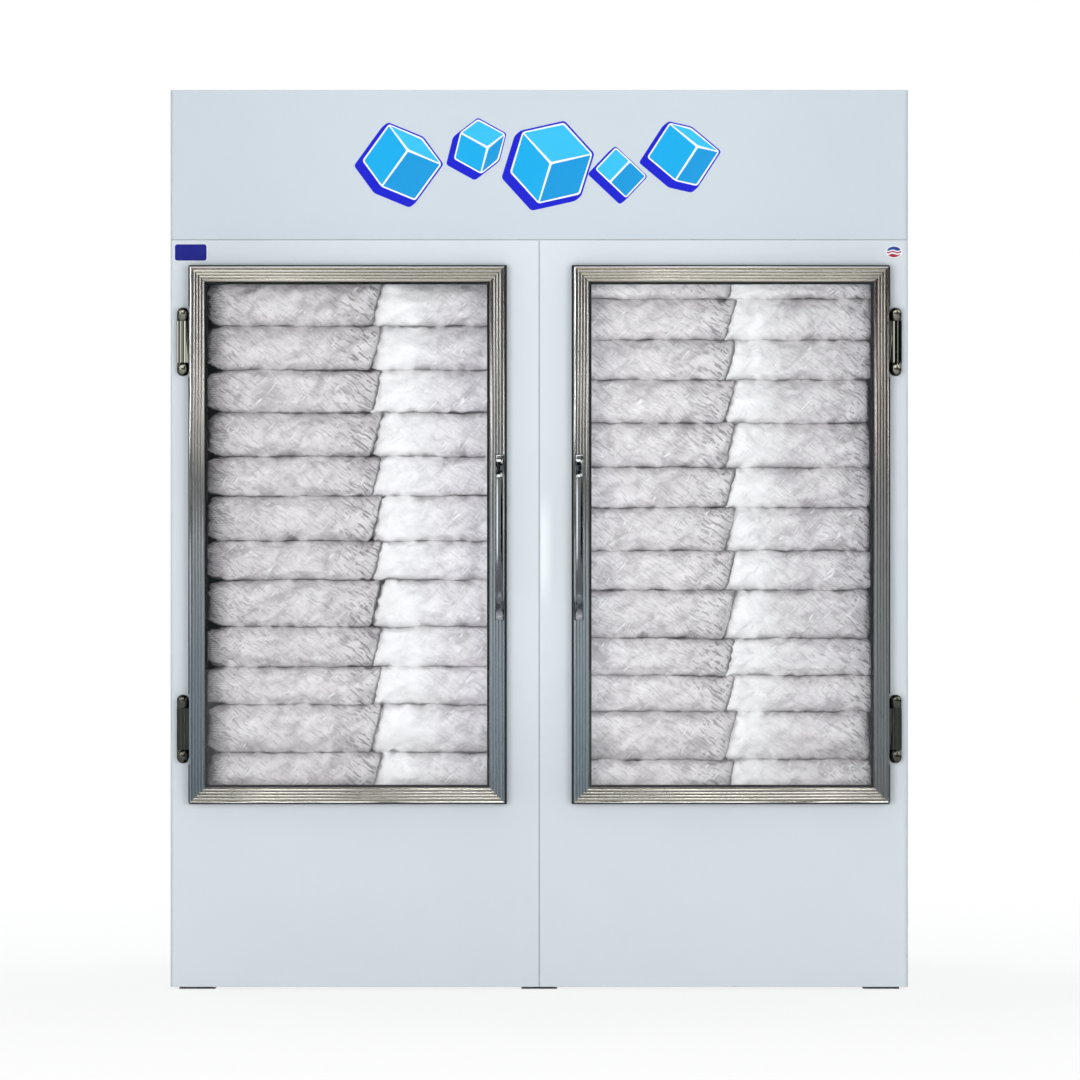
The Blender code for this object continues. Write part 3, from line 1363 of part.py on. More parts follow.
def compressor():
    """Welded shell with domed ends and a seam, on a plate with four rubber feet."""
    x, y = COMPRESSOR_X, COMPRESSOR_Y
    plate_bottom = BOX_TOP + COMPRESSOR_LIFT
    base = plate_bottom + COMPRESSOR_PLATE_THICKNESS / 2
    radius, dome = COMPRESSOR_RADIUS, COMPRESSOR_DOME
    top = COMPRESSOR_HEIGHT
    seam = top / 2
    seam_half = COMPRESSOR_SEAM_HEIGHT / 2
    lower = [(a, dome - b * dome / radius) for a, b in arc((0, 0), radius, 90, 0, BEND_SEGMENTS)]
    upper = [(a, top - dome + b * dome / radius) for a, b in arc((0, 0), radius, 0, 90, BEND_SEGMENTS)]
    lower[0], upper[-1] = (0, 0), (0, top)
    belt = [
        (radius, seam - seam_half),
        (radius + COMPRESSOR_SEAM, seam - seam_half),
        (radius + COMPRESSOR_SEAM, seam + seam_half),
        (radius, seam + seam_half),
    ]
    shell_bottom = base - COMPRESSOR_SINK
    shell = turned([*lower, *belt, *upper], "Z", (x, y, shell_bottom + dome / 2))
    half = COMPRESSOR_PLATE / 2
    plate_top = plate_bottom + COMPRESSOR_PLATE_THICKNESS
    plate = box((x - half, y - half, plate_bottom), (x + half, y + half, plate_top))
    foot_reach = half - COMPRESSOR_FOOT_INSET
    feet = [
        rod(
            (x + a * foot_reach, y + b * foot_reach, BOX_TOP + GAP),
            "Z",
            COMPRESSOR_FOOT_RADIUS,
            COMPRESSOR_LIFT + COMPRESSOR_PLATE_THICKNESS / 2,
            PIPE_SIDES,
        )
        for a in (-1, 1)
        for b in (-1, 1)
    ]
    reach = radius + COMPRESSOR_STUB_LENGTH
    stubs = [
        rod((x, y, BOX_TOP + DISCHARGE_STUB_HEIGHT), "Y", COIL_TUBE_RADIUS, reach, PIPE_SIDES),
        rod((x, y, BOX_TOP + SUCTION_STUB_HEIGHT), "X", COIL_TUBE_RADIUS, reach, PIPE_SIDES),
    ]
    middle = BOX_TOP + (DISCHARGE_STUB_HEIGHT + SUCTION_STUB_HEIGHT) / 2
    terminal = box(
        (x - TERMINAL_WIDTH / 2, y - radius - TERMINAL_DEPTH, middle - TERMINAL_HEIGHT / 2),
        (x + TERMINAL_WIDTH / 2, y - radius + TERMINAL_DEPTH, middle + TERMINAL_HEIGHT / 2),
    )
    return piece(
        "compressor",
        black_paint(),
        shell,
        ("add", plate),
        ("add", together(feet)),
        ("add", terminal),
        ("add", stubs[0]),
        ("add", stubs[1]),
    )


def refrigerant_lines():
    """Copper tubes between the compressor, the condenser and the coil inside, each butted on its stubs."""
    liquid_y, suction_y = stub_depths(EVAPORATOR_COIL_MIDDLE)
    low_y, high_y = stub_depths((CONDENSER_FRONT + CONDENSER_REAR) / 2)
    stub_end = CONDENSER_X + CONDENSER_WIDTH / 2 + COIL_STUB_LENGTH + GAP
    high_z = CONDENSER_BOTTOM + CONDENSER_HEIGHT - COIL_STUB_INSET
    low_z = CONDENSER_BOTTOM + COIL_STUB_INSET
    reach = COMPRESSOR_RADIUS + COMPRESSOR_STUB_LENGTH + GAP
    discharge_z = BOX_TOP + DISCHARGE_STUB_HEIGHT
    suction_z = BOX_TOP + SUCTION_STUB_HEIGHT
    roof_bottom = EVAPORATOR_COIL_TOP - COIL_RISER_DROP + GAP
    discharge = [
        (COMPRESSOR_X, COMPRESSOR_Y + reach, discharge_z),
        (COMPRESSOR_X, high_y, discharge_z),
        (COMPRESSOR_X, high_y, high_z),
        (stub_end, high_y, high_z),
    ]
    liquid = [(stub_end, low_y, low_z), (ROOF_PIPE_X, low_y, low_z), (ROOF_PIPE_X, liquid_y, low_z)]
    liquid.append((ROOF_PIPE_X, liquid_y, roof_bottom))
    suction = [
        (COMPRESSOR_X + reach, COMPRESSOR_Y, suction_z),
        (ROOF_PIPE_X, COMPRESSOR_Y, suction_z),
        (ROOF_PIPE_X, suction_y, suction_z),
        (ROOF_PIPE_X, suction_y, roof_bottom),
    ]
    drier_start = ((stub_end + ROOF_PIPE_X - DRIER_LENGTH) / 2, low_y, low_z)
    drier = rod(drier_start, "X", DRIER_RADIUS, DRIER_LENGTH)
    piece("discharge_line", copper(), pipe(bent(discharge, PIPE_BEND_RADIUS), COIL_TUBE_RADIUS))
    piece("liquid_line", copper(), pipe(bent(liquid, PIPE_BEND_RADIUS), COIL_TUBE_RADIUS), ("add", drier))
    piece("suction_line", copper(), pipe(bent(suction, PIPE_BEND_RADIUS), COIL_TUBE_RADIUS))


# Controls


def control_box():
    """Electrical box with a lipped cover, a hole for the knob's stem and a well for the rocker."""
    half_x, half_z = CONTROL_WIDTH / 2, CONTROL_HEIGHT / 2
    front = CONTROL_FACE - CONTROL_DEPTH
    cover_start = CONTROL_FACE - CONTROL_COVER_THICKNESS
    lip = CONTROL_COVER_LIP
    bottom, top = CONTROL_MIDDLE_Z - half_z, CONTROL_MIDDLE_Z + half_z
    cover_half = half_x + lip
    cover_low = (CONTROL_X - cover_half, bottom + lip)
    cover_high = (CONTROL_X + cover_half, top + lip)
    cover_outline = rounded_plan(cover_low, cover_high, [CONTROL_CORNER_RADIUS] * 4)
    stem_hole = rod(
        (KNOB_X, CONTROL_FACE - KNOB_STEM_LENGTH - GAP, CONTROL_MIDDLE_Z),
        "Y",
        KNOB_STEM_RADIUS + RUNNING_CLEARANCE,
        KNOB_STEM_LENGTH + OVERRUN,
    )
    well_x = SWITCH_WIDTH / 2 + SWITCH_CLEARANCE
    well_z = switch_radius() + SWITCH_CLEARANCE
    well = box(
        (SWITCH_X - well_x, CONTROL_FACE - SWITCH_WELL_DEPTH, CONTROL_MIDDLE_Z - well_z),
        (SWITCH_X + well_x, CONTROL_FACE + OVERRUN, CONTROL_MIDDLE_Z + well_z),
    )
    pin_reach = well_x + SWITCH_PIN_REACH
    pin_hole = rod(
        (SWITCH_X - pin_reach, CONTROL_FACE - SWITCH_PIVOT_DEPTH, CONTROL_MIDDLE_Z),
        "X",
        SWITCH_PIN_RADIUS + RUNNING_CLEARANCE,
        2 * pin_reach,
    )
    return piece(
        "control_box",
        black_plastic(),
        box((CONTROL_X - half_x, front, bottom), (CONTROL_X + half_x, CONTROL_FACE - GAP, top)),
        ("add", prism(cover_outline, "Y", cover_start, CONTROL_FACE)),
        ("cut", stem_hole),
        ("cut", well),
        ("cut", pin_hole),
    )


def thermostat_knob():
    """Round knob with a grip bar, turning on a stem in the cover."""
    carrier = pivot("thermostat_axis", (KNOB_X, CONTROL_FACE, CONTROL_MIDDLE_Z))
    start, end = GAP, KNOB_LENGTH
    corner = (KNOB_RADIUS - KNOB_EDGE_ROUND, end - KNOB_EDGE_ROUND)
    rounding = arc(corner, KNOB_EDGE_ROUND, 0, 90, ROUNDING_SEGMENTS)
    stem_end = GAP - KNOB_STEM_LENGTH
    profile = [(0, stem_end), (KNOB_STEM_RADIUS, stem_end), (KNOB_STEM_RADIUS, start)]
    profile += [(KNOB_RADIUS, start), *rounding, (0, end)]
    grip_half = KNOB_RADIUS - KNOB_EDGE_ROUND
    grip = box(
        (KNOB_X - KNOB_GRIP_WIDTH / 2, CONTROL_FACE + end - KNOB_GRIP_HEIGHT, CONTROL_MIDDLE_Z - grip_half),
        (KNOB_X + KNOB_GRIP_WIDTH / 2, CONTROL_FACE + end + KNOB_GRIP_HEIGHT, CONTROL_MIDDLE_Z + grip_half),
    )
    knob = turned(profile, "Y", carrier.location)
    hang(carrier, piece("thermostat_knob", black_plastic(), knob, ("add", grip)))


def switch_radius():
    """How far the rocker's face corners are from its pin."""
    return math.hypot(SWITCH_PIVOT_DEPTH + SWITCH_FACE_RISE, SWITCH_HEIGHT / 2)


def power_switch():
    """Rocker on a cross pin, at rest with its upper end pressed in."""
    carrier = pivot("power_switch_axis", (SWITCH_X, CONTROL_FACE - SWITCH_PIVOT_DEPTH, CONTROL_MIDDLE_Z))
    half_width, half_height = SWITCH_WIDTH / 2, SWITCH_HEIGHT / 2
    face = SWITCH_PIVOT_DEPTH + SWITCH_FACE_RISE
    outline = (
        (-SWITCH_BELOW_PIVOT, -half_height),
        (face, -half_height),
        (SWITCH_PIVOT_DEPTH, 0),
        (face, half_height),
        (-SWITCH_BELOW_PIVOT, half_height),
    )
    rocker = prism(outline, "X", -half_width, half_width)
    bmesh.ops.rotate(
        rocker,
        verts=rocker.verts,
        cent=(0, 0, 0),
        matrix=Matrix.Rotation(math.radians(SWITCH_TILT_DEGREES), 3, "X"),
    )
    pin_half = half_width + SWITCH_CLEARANCE + SWITCH_PIN_REACH - GAP
    pin = rod((-pin_half, 0, 0), "X", SWITCH_PIN_RADIUS, 2 * pin_half)
    moved_to(rocker, carrier.location)
    moved_to(pin, carrier.location)
    hang(carrier, piece("power_switch", black_plastic(), rocker, ("add", pin)))


# Fan coil in the ice store


def evaporator_housing():
    """Sheet hood under the ceiling, open below and behind, with two fan openings in its front."""
    half = EVAPORATOR_WIDTH / 2
    front, rear = EVAPORATOR_FRONT, EVAPORATOR_REAR
    hollow_low = (-half + SHEET, front + SHEET, EVAPORATOR_BOTTOM - OVERRUN)
    places = [(side * EVAPORATOR_FAN_X, EVAPORATOR_FAN_Z) for side in (-1, 1)]
    return piece(
        "evaporator_housing",
        bare_aluminium(),
        box((-half, front, EVAPORATOR_BOTTOM), (half, rear, EVAPORATOR_TOP)),
        ("cut", box(hollow_low, (half - SHEET, rear + OVERRUN, EVAPORATOR_TOP - SHEET))),
        ("cut", roof_pipe_holes(EVAPORATOR_TOP - OVERRUN, CEILING + OVERRUN)),
        *fan_orifices(places, front + SHEET / 2, "Y"),
    )


def evaporator_coil():
    return coil(
        "evaporator_coil",
        0.0,
        EVAPORATOR_COIL_REAR - EVAPORATOR_COIL_DEPTH,
        EVAPORATOR_COIL_REAR,
        EVAPORATOR_COIL_BOTTOM,
        EVAPORATOR_COIL_TOP,
        EVAPORATOR_WIDTH - 2 * EVAPORATOR_COIL_MARGIN,
        EVAPORATOR_FIN_COUNT,
        0.0,
        EVAPORATOR_COIL_TOP - COIL_RISER_DROP,
    )


def drain_pan():
    """Tray under the coil, with an outlet tube that runs out through the back of the cabinet."""
    half = EVAPORATOR_WIDTH / 2
    top = EVAPORATOR_BOTTOM - GAP
    bottom = top - DRAIN_PAN_HEIGHT
    rear = EVAPORATOR_REAR
    spout_end = REAR - GAP
    hollow_low = (-half + SHEET, EVAPORATOR_FRONT + SHEET, bottom + SHEET)
    return piece(
        "drain_pan",
        bare_aluminium(),
        box((-half, EVAPORATOR_FRONT, bottom), (half, rear, top)),
        ("cut", box(hollow_low, (half - SHEET, rear - SHEET, top + OVERRUN))),
        ("add", rod((0, rear - SHEET / 2, DRAIN_Z), "Y", DRAIN_SPOUT_RADIUS, spout_end - rear + SHEET / 2)),
        ("cut", rod((0, rear - OVERRUN, DRAIN_Z), "Y", DRAIN_SPOUT_BORE, spout_end - rear + 2 * OVERRUN)),
    )


# Inside the ice store


def floor_rack():
    """Rack that keeps the stock off the floor: slats across runners."""
    half = HALF_WIDTH - WALL_THICKNESS - RACK_MARGIN
    front, rear = WALL_INSIDE + RACK_MARGIN, REAR - WALL_THICKNESS - RACK_MARGIN
    bottom = FLOOR + GAP
    runners, slats = [], []
    for index in range(RACK_RUNNER_COUNT):
        x = (half - RACK_RUNNER_WIDTH / 2) * (2 * index / (RACK_RUNNER_COUNT - 1) - 1)
        low = (x - RACK_RUNNER_WIDTH / 2, front, bottom)
        runners.append(box(low, (x + RACK_RUNNER_WIDTH / 2, rear, bottom + RACK_RUNNER_HEIGHT)))
    pitch = (rear - front - RACK_SLAT_WIDTH) / (RACK_SLAT_COUNT - 1)
    slat_bottom = bottom + RACK_RUNNER_HEIGHT - SHEET
    for index in range(RACK_SLAT_COUNT):
        y = front + index * pitch
        slats.append(box((-half, y, slat_bottom), (half, y + RACK_SLAT_WIDTH, bottom + RACK_HEIGHT)))
    return piece("floor_rack", bare_aluminium(), together(runners), ("add", together(slats)))


def lamp_fixture():
    """Upright lamp on the back of the mullion: a base channel with a rounded lens."""
    front = WALL_INSIDE + GAP
    half = LAMP_WIDTH / 2
    lens_half = LAMP_LENS_SHARE * half
    base_rear = front + LAMP_BASE_SHARE * LAMP_DEPTH
    lens_middle = (0, front + LAMP_DEPTH - lens_half)
    outline = [(half, front), (half, base_rear), (lens_half, base_rear)]
    outline += arc(lens_middle, lens_half, 0, 180, ROUND_SEGMENTS // 2)
    outline += [(-lens_half, base_rear), (-half, base_rear), (-half, front)]
    margin = DOORWAY_OVERLAP + LAMP_END_MARGIN
    return piece("lamp_fixture", lamp_white(), prism(outline, "Z", DOOR_BOTTOM + margin, DOOR_TOP - margin))


def build():
    clear_scene()
    outer_skin()
    insulation_front()
    insulation_body()
    inner_liner()
    base_frame()
    machine_deck()
    header_panel()
    bay_lid()
    bay_rear()
    cord_gland()
    for side in (-1, 1):
        front_panel(side)
        bay_side(side)
        door(side)
    condenser_coil()
    fan_shroud()
    fan_motor("condenser_fan_motor", CONDENSER_X, SHROUD_FRONT + SHEET / 2, CONDENSER_FAN_Z, "-Y")
    fan("condenser_fan", CONDENSER_X, SHROUD_FRONT + SHEET / 2, CONDENSER_FAN_Z, "-Y")
    compressor()
    refrigerant_lines()
    control_box()
    thermostat_knob()
    power_switch()
    evaporator_housing()
    evaporator_coil()
    drain_pan()
    for side in (-1, 1):
        x = side * EVAPORATOR_FAN_X
        name = side_name(side)
        fan_motor(f"evaporator_motor_{name}", x, EVAPORATOR_FRONT + SHEET / 2, EVAPORATOR_FAN_Z, "Y")
        fan(f"evaporator_fan_{name}", x, EVAPORATOR_FRONT + SHEET / 2, EVAPORATOR_FAN_Z, "Y")
    floor_rack()
    lamp_fixture()


build()
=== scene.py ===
import json
import math

import bmesh
import bpy
from mathutils import Euler, Matrix, Vector, noise

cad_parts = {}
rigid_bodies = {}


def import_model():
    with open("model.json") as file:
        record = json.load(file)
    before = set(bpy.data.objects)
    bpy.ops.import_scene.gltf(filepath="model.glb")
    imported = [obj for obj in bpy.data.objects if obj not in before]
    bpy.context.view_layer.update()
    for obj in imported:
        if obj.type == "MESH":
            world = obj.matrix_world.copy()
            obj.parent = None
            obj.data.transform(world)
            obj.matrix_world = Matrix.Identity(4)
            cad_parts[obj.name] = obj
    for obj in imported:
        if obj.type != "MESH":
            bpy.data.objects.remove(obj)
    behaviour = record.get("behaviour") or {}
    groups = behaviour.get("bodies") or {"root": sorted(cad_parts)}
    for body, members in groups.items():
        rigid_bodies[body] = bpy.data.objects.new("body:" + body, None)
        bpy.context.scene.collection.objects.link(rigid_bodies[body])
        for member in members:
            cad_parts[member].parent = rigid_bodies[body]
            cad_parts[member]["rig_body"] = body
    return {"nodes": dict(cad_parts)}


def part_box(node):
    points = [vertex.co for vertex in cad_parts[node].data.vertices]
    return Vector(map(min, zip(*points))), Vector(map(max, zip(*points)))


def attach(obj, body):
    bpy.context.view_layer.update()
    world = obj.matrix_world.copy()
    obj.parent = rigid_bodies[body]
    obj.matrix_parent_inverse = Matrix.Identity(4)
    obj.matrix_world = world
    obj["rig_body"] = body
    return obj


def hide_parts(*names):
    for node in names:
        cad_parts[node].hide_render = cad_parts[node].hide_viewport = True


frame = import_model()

# Places in metres, in the model's own frame: front is -Y, right is +X, up is +Z

# the front as it is framed: metres to a pixel on the panels' face, and the picture's width in pixels
PIXEL = 0.002513
PICTURE_PIXELS = 1080
CAMERA_DISTANCE = 16.0
CAMERA_X = 0.0019
CAMERA_Z = 1.129
SENSOR = 36.0
AIM = (0, 0, 1.1)

PANEL_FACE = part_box("header_panel")[0].y
RACK_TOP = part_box("floor_rack")[1].z
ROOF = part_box("bay_lid")[1].z
DOOR_LOW = (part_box("right_handle_stile")[0].x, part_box("right_bottom_rail")[0].z)
DOOR_HIGH = (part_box("right_hinge_stile")[1].x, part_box("right_top_rail")[1].z)
DOOR_MIDDLE = ((DOOR_LOW[0] + DOOR_HIGH[0]) / 2, (DOOR_LOW[1] + DOOR_HIGH[1]) / 2)
DOOR_HALF = ((DOOR_HIGH[0] - DOOR_LOW[0]) / 2, (DOOR_HIGH[1] - DOOR_LOW[1]) / 2)
# the frame's face, which falls 3 mm inward over its 39 mm, and the outer edge of its polished lip
DOOR_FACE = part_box("right_handle_stile")[0].y
DOOR_FACE_FALL = 0.0030 / 0.039
LIP_EDGE = (0.0050, 0.0044)
TRIM_FRONT, TRIM_REAR = -0.5692, -0.5212
TRIM_EASE, SEAM_EASE = 0.0004, 0.0003
LENS_FACE = (-0.430, -0.427)

# Film on the sign, seams and screws
FILM = 0.0003
FILM_CORNER = 0.006
# the block shade and the keyline are an ice cube's outline, grown, and the shade is drawn out down and left
SHADE_GROWTH, KEYLINE_GROWTH = 1.07, 1.02
SHADE_SHIFT = (0.016, 0.013)
FACE_GAP, FACE_CORNER = 0.0035, 0.003
PLATE = ((-0.9165, 1.830), (-0.835, 1.873))
PLATE_BORDER = 0.0008
OVAL = (0.8915, 1.853)
OVAL_HALF = (0.0205, 0.015)
SEAM_DEPTH = 0.0011
SCREW_RADIUS = 0.0042
# each ice cube on the sign: its edge, its middle and its turn
SIGN_CUBES = (
    (0.116, (-0.345, 2.078), (0.62, 0.30, 0.72)),
    (0.082, (-0.150, 2.118), (0.52, -0.42, 0.95)),
    (0.128, (0.030, 2.076), (0.66, -0.18, 0.62)),
    (0.074, (0.205, 2.052), (0.55, 0.55, 0.88)),
    (0.104, (0.362, 2.098), (0.60, 0.12, 1.02)),
)

# Ice bags: heights of the joints between rows, and the upright joints between columns
LEFT_ROWS = (
    RACK_TOP, 0.272, 0.375, 0.480, 0.589, 0.712, 0.807, 0.908, 1.028, 1.126, 1.242, 1.340, 1.453, 1.561,
    1.672, 1.786,
)
RIGHT_ROWS = (
    RACK_TOP, 0.268, 0.369, 0.470, 0.571, 0.694, 0.785, 0.878, 1.003, 1.101, 1.212, 1.313, 1.426, 1.536,
    1.637, 1.742, 1.800,
)
COLUMNS = ((-0.8505, -0.404), (-0.404, 0.034), (0.038, 0.494), (0.494, 0.846))
# one bag of film: its flat size, its two heights, and the height of row at which the taller one is used
BAG_WIDTH = 0.44
BAG_DEPTH = 0.30
BAG_HEIGHTS = (0.104, 0.118)
TALL_ROW = 0.108
BAG_FRONT = -0.372
BAG_PRESS = 0.0050
TUCK_BEHIND = 0.016
ICE_LUMP = 0.026
LEAN = 0.26
TIED_PART = 0.16
TIE_ROUNDED = 0.34
PLEATS = 19
SLICES = 40
# the cloth simulation of a bag: mesh size, air pressure, frames, and how far film may move
VOXEL = 0.0085
PRESSURE = 4.0
CLOTH_FRAMES = 16
FILM_SHIFT = 0.018


# Small tools

def colour(text):
    """A colour written as sRGB hex, in the linear values that a shader takes."""
    parts = [int(text[i:i + 2], 16) / 255 for i in (0, 2, 4)]
    return [c / 12.92 if c <= 0.04045 else ((c + 0.055) / 1.055) ** 2.4 for c in parts] + [1.0]


def feed(tree, node, inputs):
    """Sets a node's inputs: a node or one of its outputs is linked, anything else is a plain value."""
    for name, value in inputs.items():
        if isinstance(value, bpy.types.Node):
            value = value.outputs[0]
        if isinstance(value, bpy.types.NodeSocket):
            tree.links.new(value, node.inputs[name])
        else:
            node.inputs[name].default_value = value
    return node


def add(tree, kind, inputs=None, stops=(), **settings):
    """Adds a shader node with its settings, its inputs and, for a ramp, its stops."""
    made = tree.nodes.new("ShaderNode" + kind)
    for name, value in settings.items():
        setattr(made, name, value)
    for count, (place, shade) in enumerate(stops):
        element = made.color_ramp.elements[count] if count < 2 else made.color_ramp.elements.new(1.0)
        element.position = place
        element.color = colour(shade) if isinstance(shade, str) else (shade, shade, shade, 1.0)
    return feed(tree, made, inputs or {})


def material(name, base, roughness, **more):
    """A material with its shader's own sockets set; also its tree, its shader and the object's places."""
    made = bpy.data.materials.new(name)
    made.use_nodes = True
    shader = made.node_tree.nodes["Principled BSDF"]
    settings = {"Base Color": colour(base), "Roughness": roughness}
    settings.update({key.replace("_", " "): value for key, value in more.items()})
    feed(made.node_tree, shader, settings)
    return made, made.node_tree, shader, add(made.node_tree, "TexCoord").outputs["Object"]


def placed(name, data):
    """A new object in the scene: a lamp, a camera or a bmesh, which it uses up."""
    if isinstance(data, bmesh.types.BMesh):
        mesh = bpy.data.meshes.new(name)
        data.to_mesh(mesh)
        data.free()
        data = mesh
    made = bpy.data.objects.new(name, data)
    bpy.context.scene.collection.objects.link(made)
    return made


def eased(bm, geom, width, steps, affect="EDGES"):
    """Rounds edges or corners."""
    bmesh.ops.bevel(bm, geom=geom, offset=width, segments=steps, profile=0.5, affect=affect, material=-1)


def finished(bm, name, finish, body, smooth=None):
    """Turns a bmesh into a piece with its materials, riding on a body."""
    bmesh.ops.recalc_face_normals(bm, faces=bm.faces)
    piece = placed(name, bm)
    for one in finish if isinstance(finish, (list, tuple)) else [finish]:
        piece.data.materials.append(one)
    if smooth:
        piece.data.shade_smooth()
        piece.data.set_sharp_from_angle(angle=math.radians(smooth))
    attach(piece, body)
    return piece


# Studio

def camera():
    """Level camera far in front, so that the cabinet shows its front alone, as in the photograph."""
    lens = bpy.data.cameras.new("camera")
    lens.sensor_width = SENSOR
    lens.lens = SENSOR * CAMERA_DISTANCE / (PIXEL * PICTURE_PIXELS)
    lens.clip_end = 200.0
    made = placed("camera", lens)
    made.location = (CAMERA_X, PANEL_FACE - CAMERA_DISTANCE, CAMERA_Z)
    made.rotation_euler = (math.radians(90), 0, 0)
    bpy.context.scene.camera = made


def lamp(name, place, size, power):
    """A soft studio lamp that faces the cabinet; metal and glass mirror the room and not the lamp itself."""
    light = bpy.data.lights.new(name, "AREA")
    light.shape = "RECTANGLE"
    light.size, light.size_y = size
    light.energy = power
    made = placed(name, light)
    made.location = place
    made.rotation_euler = (Vector(AIM) - Vector(place)).to_track_quat("-Z", "Y").to_euler()
    made.visible_camera = False
    made.visible_glossy = False
    made.visible_transmission = False


def studio():
    """Plain pale floor, white surround and soft lamps on every side."""
    world = bpy.context.scene.world or bpy.data.worlds.new("studio")
    bpy.context.scene.world = world
    world.use_nodes = True
    tree = world.node_tree
    tree.nodes.clear()
    path = add(tree, "LightPath")
    way = add(tree, "TexCoord").outputs["Generated"]
    facing = add(tree, "SeparateXYZ", {0: way})
    # metal and glass show the white backdrop behind, and in front a dim room with windows and pale walls
    across = add(tree, "MapRange", {0: facing.outputs["X"], 1: -1.0, 2: 1.0})
    wall = add(tree, "ValToRGB", {0: across}, stops=(
        (0.00, "a3a9af"), (0.05, "a3a9af"), (0.07, 2.6), (0.29, 2.6), (0.315, "2f3a44"), (0.37, "4b555d"),
        (0.395, "eef3f8"), (0.425, "eef3f8"), (0.445, "30353a"), (0.49, "3c4247"), (0.51, "757c82"),
        (0.555, "757c82"), (0.575, "e6ebf0"), (0.605, "e6ebf0"), (0.64, "1e2123")))
    height = add(tree, "MapRange", {0: facing.outputs["Z"], 1: -1.0, 2: 1.0})
    lifted = add(tree, "ValToRGB", {0: height}, stops=(
        (0.0, "35342f"), (0.22, "35342f"), (0.26, 1.7), (0.47, 1.7), (0.54, "979589"),
        (0.60, "979589"), (0.63, "262623"), (0.67, "262623"), (0.70, 2.1), (0.90, 2.1), (0.94, "262623")))
    level = add(tree, "Math", {0: facing.outputs["Z"]}, operation="ABSOLUTE")
    tilt = add(tree, "MapRange", {0: level, 1: 0.05, 2: 0.12})
    plain = add(tree, "Mix", {0: tilt, 6: wall, 7: lifted}, data_type="RGBA")
    # small bright and dark things in the room's corners, for the sparkle on domed chrome
    things = add(tree, "TexNoise", {"Vector": way, "Scale": 5.0, "Detail": 1.0})
    bright = add(tree, "ValToRGB", {0: things}, stops=((0.57, "0c0d0f"), (0.61, 5.0)))
    sideways = add(tree, "Math", {0: facing.outputs["X"]}, operation="ABSOLUTE")
    aside = add(tree, "MapRange", {0: sideways, 1: 0.15, 2: 0.28})
    above = add(tree, "MapRange", {0: level, 1: 0.18, 2: 0.30})
    corner = add(tree, "Math", {0: aside, 1: above}, operation="MULTIPLY")
    room = add(tree, "Mix", {0: corner, 6: plain.outputs[2], 7: bright}, data_type="RGBA")
    seen = add(tree, "MapRange", {0: facing.outputs["Y"], 1: 0.45, 2: 0.75})
    mirrored = add(tree, "Mix", {0: seen, 6: room.outputs[2], 7: colour("ffffff")}, data_type="RGBA")
    glossy = add(tree, "Math", {0: path.outputs["Is Glossy Ray"], 1: path.outputs["Is Transmission Ray"]},
                 operation="MAXIMUM")
    lit = add(tree, "Mix", {0: glossy, 6: colour("a2a5a9"), 7: mirrored.outputs[2]}, data_type="RGBA")
    whole = add(tree, "Mix", {0: path.outputs["Is Camera Ray"], 6: lit.outputs[2], 7: colour("ffffff")},
                data_type="RGBA")
    add(tree, "OutputWorld", {0: add(tree, "Background", {0: whole.outputs[2], 1: 1.0})})

    lamp("key", (-1.5, -9.6, 1.15), (2.6, 2.4), 322)
    lamp("fill", (1.9, -9.4, 1.15), (2.6, 2.6), 250)
    lamp("top", (0, 1.2, 6.5), (4.0, 3.0), 120)
    lamp("rear_left", (-4.5, 6.0, 4.0), (3.0, 3.0), 220)
    lamp("rear_right", (4.5, 6.0, 3.0), (3.0, 3.0), 180)

    bm = bmesh.new()
    bmesh.ops.create_grid(bm, x_segments=1, y_segments=1, size=40)
    floor = placed("floor", bm)
    made, tree, shader, place = material("matt white studio floor", "e9eaeb", 0.8)
    path = add(tree, "LightPath")
    glow = add(tree, "Emission", {"Color": colour("ffffff"), "Strength": 1.0})
    # the shadow shows near the cabinet, and further off the floor fades into the white surround
    near = add(tree, "VectorMath", {0: place}, operation="LENGTH")
    fade = add(tree, "MapRange", {0: near.outputs["Value"], 1: 1.6, 2: 4.0, 3: 0.84, 4: 1.0})
    share = add(tree, "Math", {0: path.outputs["Is Camera Ray"], 1: fade}, operation="MULTIPLY")
    mixed = add(tree, "MixShader", {0: share, 1: shader, 2: glow})
    feed(tree, tree.nodes["Material Output"], {"Surface": mixed})
    floor.data.materials.append(made)


# Finishes

